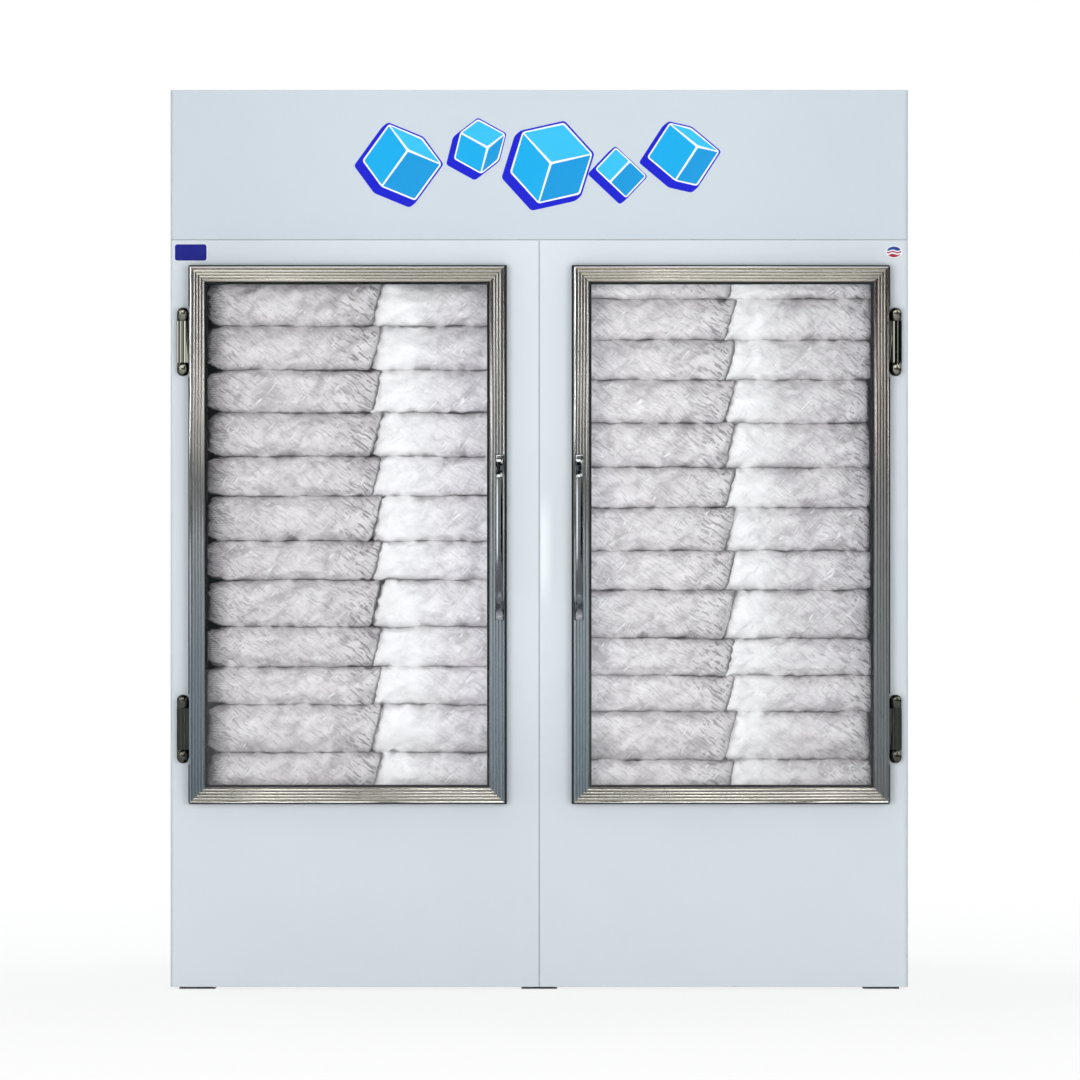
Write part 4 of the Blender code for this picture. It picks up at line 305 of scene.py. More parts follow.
def enamel(name, low, high, painted_light_tone):
    """White polyester enamel, powder coated and baked on sheet steel: even, cool white, a soft wide gloss."""
    made, tree, shader, place = material(name, high, 0.27)
    # thickness of the coat varies over about 400 mm, and the peel is 4 mm across
    cloud = add(tree, "TexNoise", {"Vector": place, "Scale": 2.4, "Detail": 2.0})
    peel = add(tree, "TexNoise", {"Vector": place, "Scale": 250.0, "Detail": 1.0})
    tone = add(tree, "ValToRGB", {0: cloud}, stops=((0.3, low), (0.7, high)))
    # painted light: the middle of the front above the doors' feet is painted a touch lighter, where more
    # light falls
    split = add(tree, "SeparateXYZ", {0: place})
    beside = add(tree, "MapRange", {0: add(tree, "Math", {0: split.outputs["X"]}, operation="ABSOLUTE"),
                                    1: 0.85, 2: 0.35, 3: 0.25, 4: 0.8}, interpolation_type="SMOOTHSTEP")
    raised = add(tree, "MapRange", {0: split.outputs["Z"], 1: 0.45, 2: 0.95}, interpolation_type="SMOOTHSTEP")
    painted_light_share = add(tree, "Math", {0: beside, 1: raised}, operation="MULTIPLY")
    shown = add(tree, "Mix", {0: painted_light_share, 6: tone, 7: colour(painted_light_tone)}, data_type="RGBA")
    # painted highlight: a patch 30 mm wide beside the seam, at the pulls, is painted close to white
    painted_seam_highlight = add(tree, "MapRange", {0: split.outputs["Y"], 1: -0.45, 2: -0.50, 3: 0.0, 4: 0.8})
    for axis, bare, full, way in (("X", 0.040, 0.010, "SMOOTHSTEP"), ("X", 0.0, 0.006, "LINEAR"),
                                  ("Z", 0.93, 1.06, "SMOOTHSTEP"), ("Z", 1.27, 1.16, "SMOOTHSTEP")):
        edge = add(tree, "MapRange", {0: split.outputs[axis], 1: bare, 2: full}, interpolation_type=way)
        painted_seam_highlight = add(tree, "Math", {0: painted_seam_highlight, 1: edge}, operation="MULTIPLY")
    shown = add(tree, "Mix", {0: painted_seam_highlight, 6: shown.outputs[2], 7: colour("f7fafc")}, data_type="RGBA")
    bump = add(tree, "Bump", {"Height": peel, "Strength": 0.12, "Distance": 0.0004})
    feed(tree, shader, {"Base Color": shown.outputs[2], "Normal": bump})
    return made


def galvanised():
    """Hot-dipped galvanised sheet: grey metal with spangles 9 mm across that differ in brightness."""
    made, tree, shader, place = material("galvanised steel, hot dipped", "b8bdc1", 0.42, Metallic=1.0)
    spangle = add(tree, "TexVoronoi", {"Vector": place, "Scale": 110.0})
    tone = add(tree, "ValToRGB", {0: spangle.outputs["Color"]}, stops=((0.1, "a9afb4"), (0.9, "c6cacd")))
    rough = add(tree, "MapRange", {0: spangle.outputs["Color"], 3: 0.34, 4: 0.5})
    feed(tree, shader, {"Base Color": tone, "Roughness": rough})
    return made


def foam():
    """Poured polyurethane foam: matt cream with small cells."""
    made, tree, shader, place = material("polyurethane foam, poured", "e6dbb4", 0.9)
    # cells 2.5 mm across, coarser than the real 0.3 mm so that they show
    cells = add(tree, "TexVoronoi", {"Vector": place, "Scale": 400.0})
    tone = add(tree, "ValToRGB", {0: cells}, stops=((0.0, "d9cc9f"), (0.6, "ece2be")))
    bump = add(tree, "Bump", {"Height": cells, "Strength": 0.5, "Distance": 0.001})
    feed(tree, shader, {"Base Color": tone, "Normal": bump})
    return made


def moulded_plastic():
    """Black ABS, injection moulded against an etched tool: fine even grain, low gloss."""
    made, tree, shader, place = material("ABS, moulded", "1b1c1e", 0.48)
    # grain 0.9 mm across, coarser than the etched 0.1 mm so that it shows
    grain = add(tree, "TexNoise", {"Vector": place, "Scale": 1100.0, "Detail": 2.0})
    rough = add(tree, "MapRange", {0: grain, 3: 0.42, 4: 0.56})
    bump = add(tree, "Bump", {"Height": grain, "Strength": 0.25, "Distance": 0.0002})
    feed(tree, shader, {"Roughness": rough, "Normal": bump})
    return made


def machine_paint():
    """Black paint sprayed on cast and pressed steel: satin, with a light peel and drifts of dust."""
    made, tree, shader, place = material("alkyd paint, sprayed", "18191b", 0.36)
    # peel 3 mm across, dust in drifts of 70 mm
    peel = add(tree, "TexNoise", {"Vector": place, "Scale": 320.0, "Detail": 2.0})
    dust = add(tree, "TexNoise", {"Vector": place, "Scale": 14.0, "Detail": 4.0})
    tone = add(tree, "ValToRGB", {0: dust}, stops=((0.45, "151618"), (0.8, "2b2b2b")))
    bump = add(tree, "Bump", {"Height": peel, "Strength": 0.2, "Distance": 0.0004})
    feed(tree, shader, {"Base Color": tone, "Normal": bump})
    return made


def copper():
    """Drawn copper tube: warm metal, brighter and duller in patches where it was soldered."""
    made, tree, shader, place = material("copper, drawn", "c98a66", 0.3, Metallic=1.0)
    # patches 38 mm long, about the heat mark of a brazed joint
    patches = add(tree, "TexNoise", {"Vector": place, "Scale": 26.0, "Detail": 4.0})
    tone = add(tree, "ValToRGB", {0: patches}, stops=((0.35, "9a6247"), (0.65, "d49a75")))
    rough = add(tree, "MapRange", {0: patches, 3: 0.42, 4: 0.22})
    feed(tree, shader, {"Base Color": tone, "Roughness": rough})
    return made


def mill_aluminium():
    """Rolled aluminium, mill finish: bright grey with faint rolling lines."""
    made, tree, shader, place = material("aluminium, rolled", "c3c6c9", 0.36, Metallic=1.0)
    # lines 3 mm apart and 170 mm long, coarser than the real 0.2 mm so that they show
    along = add(tree, "Mapping", {"Vector": place, "Scale": (6.0, 300.0, 300.0)})
    lines = add(tree, "TexNoise", {"Vector": along, "Scale": 1.0, "Detail": 3.0})
    tone = add(tree, "ValToRGB", {0: lines}, stops=((0.3, "b6b9bc"), (0.7, "cccfd1")))
    rough = add(tree, "MapRange", {0: lines, 3: 0.3, 4: 0.44})
    feed(tree, shader, {"Base Color": tone, "Roughness": rough})
    return made


def satin_aluminium(name, stretch, axis, middle, half, highlight_lips, low, high, foot, groove_shade):
    """Extruded aluminium, brushed along its length and clear anodised: satin grey with a painted highlight on
    its outer lip.
    """
    made, tree, shader, place = material(name, high, 0.27, Metallic=1.0)
    along = add(tree, "Mapping", {"Vector": place, "Scale": stretch})
    # brush lines 0.3 mm apart, too fine to part, with longer bands of a little more and less sheen
    lines = add(tree, "TexNoise", {"Vector": along, "Scale": 1.0, "Detail": 1.0})
    tone = add(tree, "ValToRGB", {0: lines}, stops=((0.3, low), (0.7, high)))
    rough = add(tree, "MapRange", {0: lines, 3: 0.26, 4: 0.28})
    split = add(tree, "SeparateXYZ", {0: place})
    reach = add(tree, "Math", {0: split.outputs[axis]}, operation="ABSOLUTE")
    inward = add(tree, "Math", {0: reach, 1: middle}, operation="SUBTRACT")
    side = add(tree, "Math", {0: split.outputs[axis]}, operation="SIGN")
    rightward = add(tree, "Math", {0: inward, 1: side}, operation="MULTIPLY")
    # painted highlight: a rail's outer lip is painted near white, and a stile's only where its lip faces left
    off = add(tree, "Math", {0: rightward, 1: -1.0}, operation=highlight_lips)
    lip_highlight = add(tree, "MapRange", {0: off, 1: half - LIP_EDGE[0], 2: half - LIP_EDGE[1]})
    # painted shade: the grooves between the ribs, 1.6 mm deep below a face that falls inward, are painted
    # dull and dark
    edge = add(tree, "Math", {0: add(tree, "Math", {0: inward}, operation="ABSOLUTE"), 1: -1.0, 2: half},
               operation="MULTIPLY_ADD")
    sunk = add(tree, "Math", {0: edge, 1: -DOOR_FACE_FALL, 2: split.outputs["Y"]}, operation="MULTIPLY_ADD")
    below = add(tree, "MapRange", {0: sunk, 1: DOOR_FACE + 0.0003, 2: DOOR_FACE + 0.0010, 3: 0.0, 4: 0.8})
    grooved = add(tree, "Mix", {0: below, 6: tone, 7: colour(groove_shade)}, data_type="RGBA")
    lip_highlighted = add(tree, "Mix", {0: lip_highlight, 6: grooved.outputs[2], 7: colour("fbfbfb")}, data_type="RGBA")
    # painted reflection: the metal is painted cooler and darker towards the door's foot, on the lip too
    painted_low_reflection = add(tree, "MapRange", {0: split.outputs["Z"], 1: 0.75, 2: 1.45, 3: 0.75, 4: 0.0})
    shown = add(tree, "Mix", {0: painted_low_reflection, 6: lip_highlighted.outputs[2], 7: colour(foot)}, data_type="RGBA")
    buffed = add(tree, "Math", {0: lip_highlight, 1: -0.12, 2: rough}, operation="MULTIPLY_ADD")
    # the grooves are made part non-metal, so that their painted shade scatters light where clean metal would
    # mirror the dark groove
    groove_metallic = add(tree, "Math", {0: below, 1: -0.6, 2: 1.0}, operation="MULTIPLY_ADD")
    feed(tree, shader, {"Base Color": shown.outputs[2], "Roughness": buffed, "Metallic": groove_metallic})
    return made


def chrome(name, base, side):
    """Chrome plated over polished zinc: a clear mirror with faint wipe marks, with painted shade where it
    turns away and a painted reflection on its lower half.
    """
    made, tree, shader, place = material(name, base, 0.06, Metallic=1.0)
    # wipe marks 22 mm wide, a finger's breadth
    wipe = add(tree, "TexNoise", {"Vector": place, "Scale": 45.0, "Detail": 3.0})
    rough = add(tree, "MapRange", {0: wipe, 1: 0.4, 2: 0.8, 3: 0.04, 4: 0.13})
    facing = add(tree, "SeparateXYZ", {0: add(tree, "TexCoord").outputs["Normal"]})
    # painted shade: darker where the surface turns away from the front
    away = add(tree, "MapRange", {0: facing.outputs["Y"], 1: -0.88, 2: -0.60})
    # painted reflection: the lower half is painted dark for the dark floor of the room it mirrors, all but
    # the foot of a pull at 0.93 to 0.96 m
    height = add(tree, "MapRange", {0: add(tree, "SeparateXYZ", {0: place}).outputs["Z"], 1: 0.5, 2: 1.2})
    painted_low_reflection = add(tree, "ValToRGB", {0: height}, stops=(
        (0.0, 0.65), (0.60, 0.65), (0.615, 0.05), (0.655, 0.05), (0.68, 0.65), (0.743, 0.65), (0.914, 0.0)))
    dark = add(tree, "Math", {0: away, 1: painted_low_reflection}, operation="MAXIMUM")
    shown = add(tree, "Mix", {0: dark, 6: colour(base), 7: colour(side)}, data_type="RGBA")
    feed(tree, shader, {"Base Color": shown.outputs[2], "Roughness": rough})
    return made


def clear_glass():
    """Tempered float glass: clear and hard, and it lets the lamps' light through to the ice."""
    made, tree, shader, _ = material("glass, float and tempered", "ffffff", 0.0, IOR=1.5)
    feed(tree, shader, {"Transmission Weight": 1.0})
    path = add(tree, "LightPath")
    through = add(tree, "Math", {0: path.outputs["Is Shadow Ray"], 1: path.outputs["Is Diffuse Ray"]},
                  operation="MAXIMUM")
    plain = add(tree, "BsdfTransparent", {"Color": colour("ffffff")})
    mixed = add(tree, "MixShader", {0: through, 1: shader, 2: plain})
    feed(tree, tree.nodes["Material Output"], {"Surface": mixed})
    return made


def rubber():
    """Black EPDM, extruded: matt with a dusty bloom."""
    made, tree, shader, place = material("EPDM rubber, extruded", "131415", 0.7)
    # bloom in patches of 17 mm
    bloom = add(tree, "TexNoise", {"Vector": place, "Scale": 60.0, "Detail": 4.0})
    tone = add(tree, "ValToRGB", {0: bloom}, stops=((0.4, "0f1011"), (0.75, "1d1e20")))
    feed(tree, shader, {"Base Color": tone})
    return made


def lamp_plastic():
    """Opal polycarbonate lens on a white base: glows evenly where it faces the ice."""
    made, tree, shader, place = material("polycarbonate, extruded opal", "f2f4f5", 0.35)
    split = add(tree, "SeparateXYZ", {0: place})
    lens = add(tree, "MapRange", {0: split.outputs["Y"], 1: LENS_FACE[0], 2: LENS_FACE[1], 3: 0.0, 4: 5.0})
    feed(tree, shader, {"Emission Color": colour("f4f8ff"), "Emission Strength": lens})
    return made


def vinyl(name, shade):
    """Cast vinyl film, cut and laid on the enamel: flat even colour with a low gloss."""
    made, tree, shader, place = material(name, shade, 0.3)
    # the film lies on the enamel's unevenness, 11 mm across
    skin = add(tree, "TexNoise", {"Vector": place, "Scale": 90.0, "Detail": 2.0})
    rough = add(tree, "MapRange", {0: skin, 3: 0.26, 4: 0.36})
    bump = add(tree, "Bump", {"Height": skin, "Strength": 0.08, "Distance": 0.0003})
    feed(tree, shader, {"Roughness": rough, "Normal": bump})
    return made


def ice_film(name, light, middle, dark, end_shade, ends, pleats, far_edge_shade, glow):
    """Clear polythene film, heat sealed over cube ice: milky lilac grey in soft clouds, with painted
    highlights and shade on its creases.
    """
    made, tree, shader, place = material(name, middle, 0.34, IOR=1.5)
    # cubes are 26 mm across; a crease is half a wave of its noise, 2.4 mm wide and 17 mm long
    warp = add(tree, "TexNoise", {"Vector": place, "Scale": 14.0, "Detail": 3.0})
    bent = add(tree, "Mix", {0: 0.022, 4: place, 5: warp.outputs["Color"]}, data_type="VECTOR").outputs[1]
    cubes = add(tree, "TexVoronoi", {"Vector": bent, "Scale": 38.0, "Smoothness": 0.6}, feature="SMOOTH_F1")
    slanted = add(tree, "Mapping", {"Vector": place, "Rotation": (0.0, -0.55, 0.0),
                                    "Scale": (0.075, 0.05, 0.04)}, vector_type="TEXTURE")
    cloud = add(tree, "TexNoise", {"Vector": slanted, "Scale": 1.0, "Detail": 5.0, "Roughness": 0.65,
                                   "Distortion": 0.6})
    ice = add(tree, "ValToRGB", {0: cubes}, stops=((0.05, light), (0.35, middle), (0.8, dark)))
    haze = add(tree, "ValToRGB", {0: cloud}, stops=((0.36, dark), (0.49, middle), (0.62, light)))
    # creases: painted highlights in bright strokes that rise to the right, and painted shade in dull ones
    # that fall, in scattered groups
    rising = add(tree, "Mapping", {"Vector": bent, "Rotation": (0.0, -0.85, 0.0),
                                   "Scale": (0.034, 0.02, 0.0048)}, vector_type="TEXTURE")
    falling = add(tree, "Mapping", {"Vector": bent, "Rotation": (0.0, 0.62, 0.0),
                                    "Scale": (0.030, 0.02, 0.0046)}, vector_type="TEXTURE")
    crease = add(tree, "TexNoise", {"Vector": rising, "Scale": 1.0, "Detail": 1.5})
    cross = add(tree, "TexNoise", {"Vector": falling, "Scale": 1.0, "Detail": 2.0})
    group = add(tree, "TexNoise", {"Vector": place, "Scale": 24.0, "Detail": 1.0})
    scattered = add(tree, "MapRange", {0: group, 1: 0.48, 2: 0.56})
    along = add(tree, "Attribute", attribute_name="along").outputs["Fac"]
    ends_mask = add(tree, "ValToRGB", {0: along}, stops=(
        (0.0, 1.0), (0.22, 0.45), (0.5, 0.25), (0.78, 0.5), (0.92, 1.0), (1.0, 1.0)))
    scribble = add(tree, "ValToRGB", {0: cross}, stops=((0.53, 0.0), (0.61, 0.9)))
    painted_crease_shade = add(tree, "Math", {0: scribble, 1: ends_mask}, operation="MULTIPLY")
    stroke = add(tree, "ValToRGB", {0: crease}, stops=((0.59, 0.0), (0.65, 1.0)))
    painted_glints = add(tree, "Math", {0: stroke, 1: scattered}, operation="MULTIPLY")
    # the ends take their own tone: darker on the near and plain films, and on the lit film painted light,
    # near white
    end = add(tree, "ValToRGB", {0: along}, stops=ends)
    drift = add(tree, "MapRange", {0: cloud, 1: 0.3, 2: 0.7, 3: 0.7, 4: 1.15})
    end_share = add(tree, "Math", {0: end, 1: drift}, operation="MULTIPLY", use_clamp=True)
    # painted glow: the lit film's end glows, though it is no lamp
    through = add(tree, "Math", {0: end_share, 1: glow}, operation="MULTIPLY")
    # painted shade: towards the joints with the bags above and below, the ice is painted darker, in patches
    across = add(tree, "Attribute", attribute_name="across").outputs["Fac"]
    patch = add(tree, "MapRange", {0: group, 1: 0.38, 2: 0.60, 3: 0.25, 4: 1.25})
    joint_shade = add(tree, "MapRange", {0: across, 1: 0.66, 2: 1.0, 3: 0.0, 4: 0.62})
    painted_joint_shade = add(tree, "Math", {0: joint_shade, 1: patch}, operation="MULTIPLY", use_clamp=True)
    joint_line = add(tree, "MapRange", {0: across, 1: 0.90, 2: 0.97, 3: 0.0, 4: 0.75})
    painted_joint_line = add(tree, "Math", {0: joint_line, 1: patch}, operation="MULTIPLY", use_clamp=True)
    # painted shade: the far end turns away behind a dark edge
    painted_edge_shade = add(tree, "MapRange", {0: along, 1: 0.972, 2: 0.985, 3: 0.0, 4: far_edge_shade})
    # gathered film at the tied end: pleats 9 mm apart that fan out from the tie, with painted shade in their
    # furrows
    around = add(tree, "Attribute", attribute_name="around").outputs["Fac"]
    wander = add(tree, "Math", {0: warp, 1: 9.0}, operation="MULTIPLY")
    turns = add(tree, "Math", {0: around, 1: 540.0, 2: wander}, operation="MULTIPLY_ADD")
    wave = add(tree, "Math", {0: turns}, operation="SINE")
    gathered = add(tree, "MapRange", {0: along, 1: 0.03, 2: 0.17, 3: pleats, 4: 0.0})
    pleat = add(tree, "Math", {0: wave, 1: gathered}, operation="MULTIPLY")
    painted_pleat_shade = add(tree, "MapRange", {0: pleat, 1: 0.1, 2: 0.9, 3: 0.0, 4: pleats})
    # each of these lies over the ones before it
    shown = add(tree, "Mix", {0: 0.72, 6: ice, 7: haze}, data_type="RGBA")
    for share, shade in ((painted_crease_shade, "928e92"), (painted_glints, "fdfcfd"), (end_share, end_shade), (painted_joint_shade, "979396"),
                         (painted_joint_line, "69666a"), (painted_edge_shade, "5b585c"), (painted_pleat_shade, "6f6c72")):
        shown = add(tree, "Mix", {0: share, 6: shown.outputs[2], 7: colour(shade)}, data_type="RGBA")
    ridge = add(tree, "Math", {0: painted_glints, 1: cross}, operation="ADD")
    lumps = add(tree, "Math", {0: ridge, 1: cubes}, operation="SUBTRACT")
    height = add(tree, "Math", {0: pleat, 1: -0.5, 2: lumps}, operation="MULTIPLY_ADD")
    bump = add(tree, "Bump", {"Height": height, "Strength": 0.6, "Distance": 0.004})
    feed(tree, shader, {"Base Color": shown.outputs[2], "Normal": bump, "Coat Weight": 0.5,
                        "Coat Roughness": 0.15, "Emission Color": colour("fdfcff"),
                        "Emission Strength": through})
    return made


# Carried-over pieces

def dressed(name, finish, bevel, smooth):
    """A merged copy of a CAD piece, shaded round where it is round, with its edges eased, standing for it."""
    source = frame["nodes"][name]
    bm = bmesh.new()
    bm.from_mesh(source.data)
    bmesh.ops.remove_doubles(bm, verts=bm.verts, dist=0.00002)
    piece = finished(bm, name + "_finished", finish, source["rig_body"], smooth)
    if bevel:
        edge = piece.modifiers.new("eased_edges", "BEVEL")
        edge.width = bevel
        edge.segments = 2
        edge.limit_method = "ANGLE"
        edge.angle_limit = math.radians(50)
        # broad flat faces keep their own shading right up to their bends and eased edges
        flat = piece.modifiers.new("flat_faces_shade_flat", "WEIGHTED_NORMAL")
        flat.keep_sharp = True
    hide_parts(name)


def dress_cabinet():
    """Gives every CAD piece its finish."""
    rail = satin_aluminium("aluminium rail, brushed and anodised", (20.0, 3000.0, 3000.0), "Z",
                           DOOR_MIDDLE[1], DOOR_HALF[1], "ABSOLUTE", "f6f0e2", "fbf6ea", "c8c6bd", "a39d89")
    # the stiles mirror other parts of the room than the rails do; painted reflection: rails and each stile
    # get their own lighter or darker tones for what they mirror
    silver, grey, dark = [
        satin_aluminium("aluminium stile, brushed and anodised " + shade, (3000.0, 3000.0, 20.0), "X",
                        DOOR_MIDDLE[0], DOOR_HALF[0], "MULTIPLY", *tones)
        for shade, tones in (("silver", ("b9b6b2", "bebbb6", "93a4b1", "5a5854")),
                             ("grey", ("b1afac", "b6b4b0", "b0c0ca", "62605c")),
                             ("dark", ("9c9690", "a19b94", "9ea5a8", "45423f")))]
    white = enamel("polyester enamel, powder coated", "cbd3d7", "d0d6da", "dde5e9")
    # painted shade: the header panel's enamel is a darker copy of the front's, to offset the stronger light
    # on it
    shaded_header_white = enamel("polyester enamel, powder coated sign panel", "c4cdd4", "c8d0d6", "cdd6dd")
    zinc, black, paint = galvanised(), moulded_plastic(), machine_paint()
    bare, glass, seal, tube = mill_aluminium(), clear_glass(), rubber(), copper()
    plated = chrome("chrome, plated and buffed", "b4b7ba", "5c6166")
    # painted reflection: the hinges' chrome is given a dark olive tone for the dark room it mirrors
    cast = chrome("chrome, plated over cast zinc", "96968a", "1f201c")
    cream, opal = foam(), lamp_plastic()
    groups = (
        ("white_enamel", white, 0.0007, 40, ("outer_skin", "front_panel_left", "front_panel_right",
         "bay_lid", "bay_side_left", "bay_side_right", "bay_rear_panel")),
        ("white_enamel", shaded_header_white, 0.0007, 40, ("header_panel",)),
        ("galvanised_steel", zinc, 0, 30, ("inner_liner", "base_frame", "machine_deck", "fan_shroud")),
        ("rigid_foam", cream, 0, 30, ("insulation_front", "insulation_body")),
        ("black_plastic", black, 0.0004, 40, ("cord_gland", "control_box", "thermostat_knob",
         "power_switch")),
        ("black_paint", paint, 0, 40, ("compressor", "condenser_fan_motor", "evaporator_motor_left",
         "evaporator_motor_right")),
        ("copper_tube", tube, 0, 50, ("discharge_line", "liquid_line", "suction_line")),
        ("bare_aluminium", bare, 0, 30, ("condenser_coil", "condenser_fan", "evaporator_housing",
         "evaporator_coil", "evaporator_fan_left", "evaporator_fan_right", "drain_pan", "floor_rack")),
        ("lamp_white", opal, 0, 40, ("lamp_fixture",)),
    )
    for slot, finish, bevel, smooth, names in groups:
        for name in names:
            dressed(name, finish, bevel, smooth)
    for side, hinge_side in (("left_", silver), ("right_", dark)):
        for slot, finish, smooth, parts in (
                ("anodised_aluminium", rail, 35, ("top_rail", "bottom_rail")),
                ("anodised_aluminium", hinge_side, 35, ("hinge_stile",)),
                ("anodised_aluminium", grey, 35, ("handle_stile",)),
                ("clear_glass", glass, 30, ("outer_pane", "inner_pane")),
                ("black_rubber", seal, 40, ("spacer", "gasket")),
                ("polished_chrome", plated, 50, ("handle",)),
                ("polished_chrome", cast, 20, ("upper_hinge_leaf", "lower_hinge_leaf")),
                ("polished_chrome", cast, 50, ("upper_hinge_base", "lower_hinge_base"))):
            for part in parts:
                dressed(side + part, finish, 0, smooth)
    return zinc, seal


# Sign

def ice_cube_faces(size, turn):
    """The three faces of a turned cube that show from the front, pressed flat."""
    bm = bmesh.new()
    bmesh.ops.create_cube(bm, size=size)
    bmesh.ops.rotate(bm, cent=(0, 0, 0), matrix=Euler(turn).to_matrix(), verts=bm.verts)
    hidden = [face for face in bm.faces if face.normal.y > -0.02]
    bmesh.ops.delete(bm, geom=hidden, context="FACES")
    bmesh.ops.scale(bm, vec=(1, 0, 1), verts=bm.verts)
    return bm


def cube_outline(size, turn):
    """The corners of a turned cube, pressed flat."""
    bm = ice_cube_faces(size, turn)
    corners = [vert.co.copy() for vert in bm.verts]
    bm.free()
    return corners


def flat_hull(points, front):
    """A flat plate of film round some points, its face to the front."""
    bm = bmesh.new()
    verts = [bm.verts.new((x, y, z)) for x, z in points for y in (front, front + FILM)]
    hull = bmesh.ops.convex_hull(bm, input=verts)
    inner = [item for item in hull["geom_interior"] if isinstance(item, bmesh.types.BMVert)]
    bmesh.ops.delete(bm, geom=inner, context="VERTS")
    bmesh.ops.dissolve_limit(bm, angle_limit=math.radians(1), verts=bm.verts, edges=bm.edges)
    upright = [edge for edge in bm.edges if abs(edge.verts[0].co.y - edge.verts[1].co.y) > FILM / 2]
    eased(bm, upright, FILM_CORNER, 4)
    return bm


def joined(parts):
    """Several bmeshes in one."""
    whole = bmesh.new()
    for part in parts:
        step = bpy.data.meshes.new("step")
        part.to_mesh(step)
        part.free()
        whole.from_mesh(step)
        bpy.data.meshes.remove(step)
    return whole


def sign():
    """Tumbling ice cubes in cut film: a dark blue block shade, a white keyline and cyan faces."""
    blue = vinyl("vinyl film, cast blue", "0511ca")
    navy = vinyl("vinyl film, cast navy", "030f7e")
    white = vinyl("vinyl film, cast white", "f4f7f9")
    cyans = [vinyl("vinyl film, cast pale cyan", "35bfee"), vinyl("vinyl film, cast cyan", "05aae6"),
             vinyl("vinyl film, cast deep cyan", "0a97d8")]
    shades, keylines, faces = [], [], []
    for size, (x, z), turn in SIGN_CUBES:
        corners = cube_outline(size, turn)
        grown = [(x + c.x * SHADE_GROWTH, z + c.z * SHADE_GROWTH) for c in corners]
        shade = grown + [(px - SHADE_SHIFT[0], pz - SHADE_SHIFT[1]) for px, pz in grown]
        shades.append(flat_hull(shade, PANEL_FACE - FILM))
        inner = [(x + c.x * KEYLINE_GROWTH, z + c.z * KEYLINE_GROWTH) for c in corners]
        keylines.append(flat_hull(inner, PANEL_FACE - 2 * FILM))
        flat = ice_cube_faces(size, turn)
        bmesh.ops.translate(flat, vec=(x, PANEL_FACE - 2 * FILM, z), verts=flat.verts)
        bmesh.ops.split_edges(flat, edges=flat.edges)
        bmesh.ops.inset_individual(flat, faces=flat.faces, thickness=FACE_GAP)
        rims = [face for face in flat.faces if any(len(edge.link_faces) == 1 for edge in face.edges)]
        bmesh.ops.delete(flat, geom=rims, context="FACES")
        eased(flat, flat.verts[:], FACE_CORNER, 3, "VERTICES")
        # the upper face is palest, the left one middling, the right one deepest
        for face in flat.faces:
            middle = face.calc_center_median()
            rise, side = middle.z - z, middle.x - x
            upper = rise > abs(side) * 0.6 and rise > 0.01
            face.material_index = 0 if upper else (1 if side < 0 else 2)
        raised = bmesh.ops.extrude_face_region(flat, geom=flat.faces[:])
        lifted = [item for item in raised["geom"] if isinstance(item, bmesh.types.BMVert)]
        bmesh.ops.translate(flat, vec=(0, -FILM, 0), verts=lifted)
        faces.append(flat)
    finished(joined(shades), "sign_block_shade", blue, "cabinet")
    finished(joined(keylines), "sign_keyline", white, "cabinet")
    finished(joined(faces), "sign_ice_faces", cyans, "cabinet")
    return navy, white


def badges(blue, white):
    """A bare blue plate at the left and a small banded oval at the right, as plain film."""
    layers = []
    for layer in (0, 1):
        inset = PLATE_BORDER * layer
        left, bottom = (value + inset for value in PLATE[0])
        right, top = (value - inset for value in PLATE[1])
        corners = ((left, bottom), (right, bottom), (right, top), (left, top))
        part = flat_hull(corners, PANEL_FACE - (layer + 1) * FILM)
        for face in part.faces:
            face.material_index = layer
        layers.append(part)
    finished(joined(layers), "blank_plate", [white, blue], "cabinet")

    bands, tree, shader, place = material("vinyl film, printed in bands", "f4f4f4", 0.3)
    parts = add(tree, "SeparateXYZ", {0: place})
    wave = add(tree, "Math", {0: parts.outputs["X"], 1: 260.0}, operation="MULTIPLY")
    swing = add(tree, "Math", {0: wave}, operation="SINE")
    height = add(tree, "Math", {0: swing, 1: 0.0016, 2: parts.outputs["Z"]}, operation="MULTIPLY_ADD")
    low, high = OVAL[1] - OVAL_HALF[1], OVAL[1] + OVAL_HALF[1]
    across = add(tree, "MapRange", {0: height, 1: low, 2: high})
    tone = add(tree, "ValToRGB", {0: across}, stops=(
        (0.0, "a51e2c"), (0.30, "eef0f2"), (0.42, "a51e2c"), (0.54, "eef0f2"), (0.64, "24408f")))
    tone.color_ramp.interpolation = "CONSTANT"
    feed(tree, shader, {"Base Color": tone})
    bm = bmesh.new()
    upright = Matrix.Rotation(math.radians(90), 3, "X")
    for layer, radius in enumerate((1.0, 0.9)):
        verts = bmesh.ops.create_cone(bm, cap_ends=True, segments=40, radius1=radius, radius2=radius,
                                      depth=1)["verts"]
        bmesh.ops.scale(bm, vec=(*OVAL_HALF, FILM), verts=verts)
        bmesh.ops.rotate(bm, cent=(0, 0, 0), matrix=upright, verts=verts)
        bmesh.ops.translate(bm, vec=(OVAL[0], PANEL_FACE - FILM * (layer + 0.5), OVAL[1]), verts=verts)
        for face in {face for vert in verts for face in vert.link_faces}:
            face.material_index = layer
    finished(bm, "banded_oval", [white, bands], "cabinet")


# Small fasteners

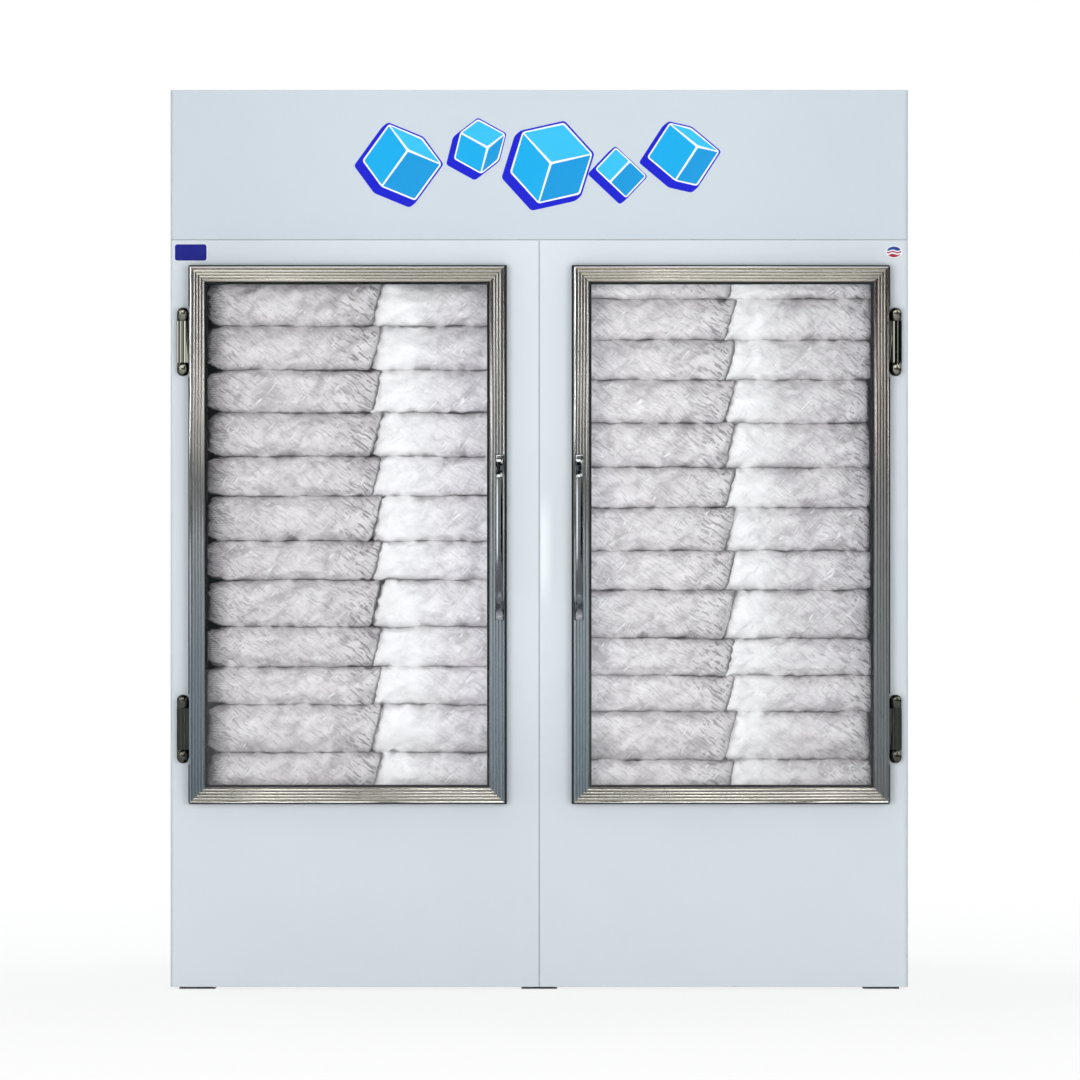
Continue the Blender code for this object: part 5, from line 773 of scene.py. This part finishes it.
def screws(name, places, axis, finish):
    """Pan-head screws with a recess, standing on a panel that faces along an axis."""
    bm = bmesh.new()
    facing = Vector(axis).to_track_quat("Z", "Y").to_matrix()
    for place in places:
        head = bmesh.ops.create_cone(bm, cap_ends=True, segments=14, radius1=SCREW_RADIUS,
                                     radius2=SCREW_RADIUS * 0.72, depth=SCREW_RADIUS * 0.5)["verts"]
        top = [face for face in {f for v in head for f in v.link_faces} if face.normal.z > 0.9]
        rim = bmesh.ops.inset_region(bm, faces=top, thickness=SCREW_RADIUS * 0.34)["faces"]
        bmesh.ops.translate(bm, vec=(0, 0, -SCREW_RADIUS * 0.22), verts=[v for f in top for v in f.verts])
        mine = list(set(head) | {v for f in rim + top for v in f.verts})
        bmesh.ops.rotate(bm, cent=(0, 0, 0), matrix=facing, verts=mine)
        bmesh.ops.translate(bm, vec=Vector(place) + Vector(axis) * SCREW_RADIUS * 0.25, verts=mine)
    finished(bm, name, finish, "cabinet", 35)


def spread(start, end, count):
    """Evenly spaced numbers from start to end."""
    return [start + (end - start) * step / (count - 1) for step in range(count)]


def panel_screws(finish):
    """Screws that hold the machine bay's panels and lid."""
    lid = [(x, y, ROOF) for x in spread(-0.90, 0.90, 7) for y in (-0.46, 0.59)]
    lid += [(x, y, ROOF) for x in (-0.90, 0.90) for y in spread(-0.20, 0.33, 3)]
    screws("lid_screws", lid, (0, 0, 1), finish)
    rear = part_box("bay_rear_panel")
    back = [(x, rear[1].y, z) for x in spread(-0.845, 0.845, 6) for z in (1.899, 2.236)]
    screws("rear_panel_screws", back, (0, 1, 0), finish)
    for side, word in ((-1, "left"), (1, "right")):
        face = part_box("bay_side_" + word)[0 if side < 0 else 1].x
        places = [(face, y, z) for y in (-0.47, 0.055, 0.58) for z in (1.900, 2.222)]
        screws("side_screws_" + word, places, (side, 0, 0), finish)


# Painted door shadows and seam trim

def strip(bm, low, high):
    """A moulded strip with eased edges between two corners."""
    made = bmesh.ops.create_cube(bm, size=1)["verts"]
    bmesh.ops.scale(bm, vec=[high[i] - low[i] for i in range(3)], verts=made)
    bmesh.ops.translate(bm, vec=[(high[i] + low[i]) / 2 for i in range(3)], verts=made)
    eased(bm, list({edge for vert in made for edge in vert.link_edges}), TRIM_EASE, 2)


def door_shadow_strips(seal):
    """Black strips round each door's frame as painted shadow in the gap at its edge, wider on the handle side
    and interrupted at the hinges.
    """
    clear, hinge_gap, hinge_side, thin, wide = 0.0002, 0.002, 0.0018, 0.0024, 0.0045
    bottom, top = DOOR_LOW[1], DOOR_HIGH[1]
    pull_edge, hinge_edge = DOOR_LOW[0] - clear, DOOR_HIGH[0] + clear
    for side, word in ((-1, "left"), (1, "right")):
        gaps = [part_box("%s_%s_hinge_base" % (word, level)) for level in ("lower", "upper")]
        ends = [bottom]
        for low, high in gaps:
            ends += [low.z - hinge_gap, high.z + hinge_gap]
        ends.append(top)
        parts = [((hinge_edge, low), (hinge_edge + hinge_side, high))
                 for low, high in zip(ends[::2], ends[1::2])]
        parts += [((pull_edge - wide, bottom), (pull_edge, top)),
                  ((pull_edge - wide, top + clear), (hinge_edge, top + clear + thin)),
                  ((pull_edge - wide, bottom - clear - thin), (hinge_edge, bottom - clear))]
        bm = bmesh.new()
        for (near, low), (far, high) in parts:
            xs = sorted((side * near, side * far))
            strip(bm, (xs[0], TRIM_FRONT, low), (xs[1], TRIM_REAR, high))
        finished(bm, word + "_door_trim", seal, word + "_door")


def seam_strip(name, size, middle, low, high):
    """Silicone between two panels, tooled a little below their faces."""
    seam = name.replace("_strip", "").replace("_", " ")
    made, tree, shader, place = material("silicone, tooled, in the " + seam, high, 0.45)
    # the bead ripples every 33 mm
    ripple = add(tree, "TexNoise", {"Vector": place, "Scale": 30.0, "Detail": 2.0})
    tone = add(tree, "ValToRGB", {0: ripple}, stops=((0.3, low), (0.7, high)))
    feed(tree, shader, {"Base Color": tone})
    bm = bmesh.new()
    bmesh.ops.create_cube(bm, size=1)
    bmesh.ops.scale(bm, vec=size, verts=bm.verts)
    eased(bm, [edge for edge in bm.edges if edge.calc_length() > 1], SEAM_EASE, 2)
    bmesh.ops.translate(bm, vec=middle, verts=bm.verts)
    finished(bm, name, made, "cabinet", 30)


# Ice bags

def soft_noise(point, size, seed):
    """Smooth noise from -1 to 1 with features of a given size."""
    return noise.noise(Vector(point) / size + Vector((seed * 7.3, seed * 3.1, seed * 5.7)))


def pillow(name, width, depth, height):
    """A filled film bag: a rounded box remeshed, then blown up by cloth simulation."""
    bm = bmesh.new()
    bmesh.ops.create_cube(bm, size=1)
    bmesh.ops.scale(bm, vec=(width - 0.02, depth - 0.02, height * 0.86), verts=bm.verts)
    eased(bm, bm.edges[:], height * 0.22, 3)
    bag = placed(name, bm)
    remesh = bag.modifiers.new("remesh", "REMESH")
    remesh.mode = "VOXEL"
    remesh.voxel_size = VOXEL
    applied(bag)
    start = [vert.co.copy() for vert in bag.data.vertices]
    cloth = bag.modifiers.new("cloth", "CLOTH")
    cloth.settings.use_pressure = True
    cloth.settings.uniform_pressure_force = PRESSURE
    cloth.settings.effector_weights.gravity = 0.0
    cloth.settings.quality = 4
    cloth.point_cache.frame_start, cloth.point_cache.frame_end = 1, CLOTH_FRAMES
    for step in range(1, CLOTH_FRAMES + 1):
        bpy.context.scene.frame_set(step)
    applied(bag)
    for vert, was in zip(bag.data.vertices, start):
        shift = vert.co - was
        if shift.length > FILM_SHIFT:
            vert.co = was + shift.normalized() * FILM_SHIFT
    bpy.context.scene.frame_set(1)
    return bag


def applied(thing):
    """Puts a piece's modifiers into its mesh."""
    bpy.context.view_layer.update()
    result = thing.evaluated_get(bpy.context.evaluated_depsgraph_get())
    mesh = bpy.data.meshes.new_from_object(result)
    thing.modifiers.clear()
    thing.data = mesh


def bag_shape(source, width, low, high, seed, leans, rounded):
    """A copy of a bag, fitted between its rows' joints, lumpy with ice and pleated at its tied end."""
    bm = bmesh.new()
    bm.from_mesh(source.data)
    bm.normal_update()
    along = bm.verts.layers.float.new("along")
    around = bm.verts.layers.float.new("around")
    across = bm.verts.layers.float.new("across")
    size = [max(v.co[i] for v in bm.verts) - min(v.co[i] for v in bm.verts) for i in range(3)]
    tall = high - low + BAG_PRESS
    # local half height in slices along the bag, so that each slice can be brought to its full height
    reach = [0.001] * (SLICES + 1)
    for vert in bm.verts:
        index = round(min(max(vert.co.x / size[0] + 0.5, 0), 1) * SLICES)
        reach[index] = max(reach[index], abs(vert.co.z))
    moves = []
    for vert in bm.verts:
        spot = vert.co.copy()
        u = min(max(spot.x / size[0] + 0.5, 0.0), 1.0)
        vert[along] = u
        # lumps of ice under the film, and waves in it 70 mm and 14 mm across
        lump = noise.voronoi(spot / ICE_LUMP + Vector((seed * 3.7, seed * 1.9, 0)))[0][0]
        rise = 0.006 * (0.45 - min(lump, 0.9)) + 0.004 * soft_noise(spot, 0.07, seed)
        rise += 0.0020 * soft_noise(spot, 0.014, seed + 9)
        tied = max(0.0, 1 - u / TIED_PART)
        angle = math.atan2(spot.z, -spot.y)
        # pleats fan out from the tie
        fan = angle / (0.35 + 0.65 * (1 - tied))
        vert[around] = fan / math.tau + 0.5
        rise += 0.004 * tied * math.sin(fan * PLEATS + 4 * soft_noise(spot, 0.05, seed))
        index = min(int(u * SLICES), SLICES - 1)
        part = u * SLICES - index
        local = reach[index] * (1 - part) + reach[index + 1] * part
        # full height but for the ends' rounded corners, and slimmer towards a tie that shows
        outline = max(0.0, 1 - abs(2 * u - 1) ** 40) ** (1 / 5) * (1 - rounded * tied ** 1.8)
        v = max(-1.0, min(1.0, spot.z / local * 1.08)) * outline
        vert[across] = abs(v)
        moves.append((vert.normal * rise, u, v))
    for vert, (move, u, v) in zip(bm.verts, moves):
        place = vert.co + move
        wave = 0.0026 * soft_noise(place, 0.11, seed + 4) + 0.0018 * soft_noise(place, 0.03, seed + 5)
        place.z = max(-tall / 2, min(tall / 2, v * tall / 2 + move.z + wave))
        slope = leans[0] * max(0.0, 0.3 - u) / 0.3 + leans[1] * max(0.0, u - 0.7) / 0.3
        place.x = place.x * width / size[0] + slope * place.z
        place.y *= BAG_DEPTH / size[1]
        vert.co = place
    return bm


def ice_bags():
    """Filled bags on their sides in four columns, packed from the rack to the top of the doorway."""
    near = ice_film("polythene film over cube ice, heat sealed", "fefbfb", "eee9ea", "c5c0c2", "8f8b90",
                    ((0.0, 0.75), (0.07, 0.45), (0.16, 0.0), (0.88, 0.0), (1.0, 0.35)), 0.8, 0.85, 0.0)
    plain = ice_film("polythene film over cube ice, laid flat", "fefafa", "ece8e9", "c8c3c5", "aba7ab",
                     ((0.0, 0.35), (0.10, 0.20), (0.2, 0.0), (0.88, 0.0), (1.0, 0.35)), 0.0, 0.85, 0.0)
    # painted light and glow: this film is painted near white at its left end, and glows there
    lit = ice_film("polythene film over cube ice, painted lit at its end", "fbf8f9", "ebe7e9", "c4bfc2", "ffffff",
                   ((0.0, 1.0), (0.20, 0.9), (0.40, 0.15), (0.52, 0.0)), 0.0, 0.0, 0.11)
    sources = [pillow("bag_step_%d" % n, BAG_WIDTH, BAG_DEPTH, tall) for n, tall in enumerate(BAG_HEIGHTS)]
    for rows, columns in ((LEFT_ROWS, (0, 1)), (RIGHT_ROWS, (2, 3))):
        side = "left" if rows is LEFT_ROWS else "right"
        for row in range(len(rows) - 1):
            low, high = rows[row], rows[row + 1]
            parts = []
            for column in columns:
                start, end = COLUMNS[column]
                seed = row * 4 + column + 1
                source = sources[0 if high - low < TALL_ROW else 1]
                leans = (0.0, LEAN) if column % 2 == 0 else (LEAN, 0.0)
                # a bag in a second column tucks in behind the end of the first
                start -= TUCK_BEHIND * (column % 2)
                rounded = TIE_ROUNDED if column == 0 else 0.0
                bag = bag_shape(source, end - start - 0.001, low, high, seed, leans, rounded)
                # each stands up to 6 mm further out or in, and the second column 10 mm further in
                forward = 0.006 * soft_noise((row, column, 0.5), 1.7, 3) + (0.0 if column % 2 == 0 else 0.010)
                centre = ((start + end) / 2, BAG_FRONT + BAG_DEPTH / 2 + forward, (low + high) / 2)
                bmesh.ops.translate(bag, vec=centre, verts=bag.verts)
                for face in bag.faces:
                    face.material_index = column % 2
                parts.append(bag)
            films = [near if side == "left" else plain, lit]
            piece = finished(joined(parts), "ice_bags_%s_%02d" % (side, row + 1), films, "cabinet",
                             80)
    for source in sources:
        bpy.data.objects.remove(source)


def build():
    """The whole scene."""
    for stray in [thing for thing in bpy.data.objects if thing.name in ("Cube", "Light", "Camera")]:
        bpy.data.objects.remove(stray)
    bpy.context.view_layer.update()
    bpy.context.scene.view_settings.view_transform = "Standard"
    camera()
    studio()
    zinc, seal = dress_cabinet()
    door_shadow_strips(seal)
    seam_face = PANEL_FACE + SEAM_DEPTH
    seam_strip("seam_strip", (0.0018, 0.0012, 1.875), (0, seam_face, 0.944), "868999", "989bab")
    seam_strip("header_seam_strip", (1.846, 0.0012, 0.0018), (0, seam_face, 1.883), "b7bdc1", "bfc5c9")
    blue_film, white_film = sign()
    badges(blue_film, white_film)
    panel_screws(zinc)
    ice_bags()


build()
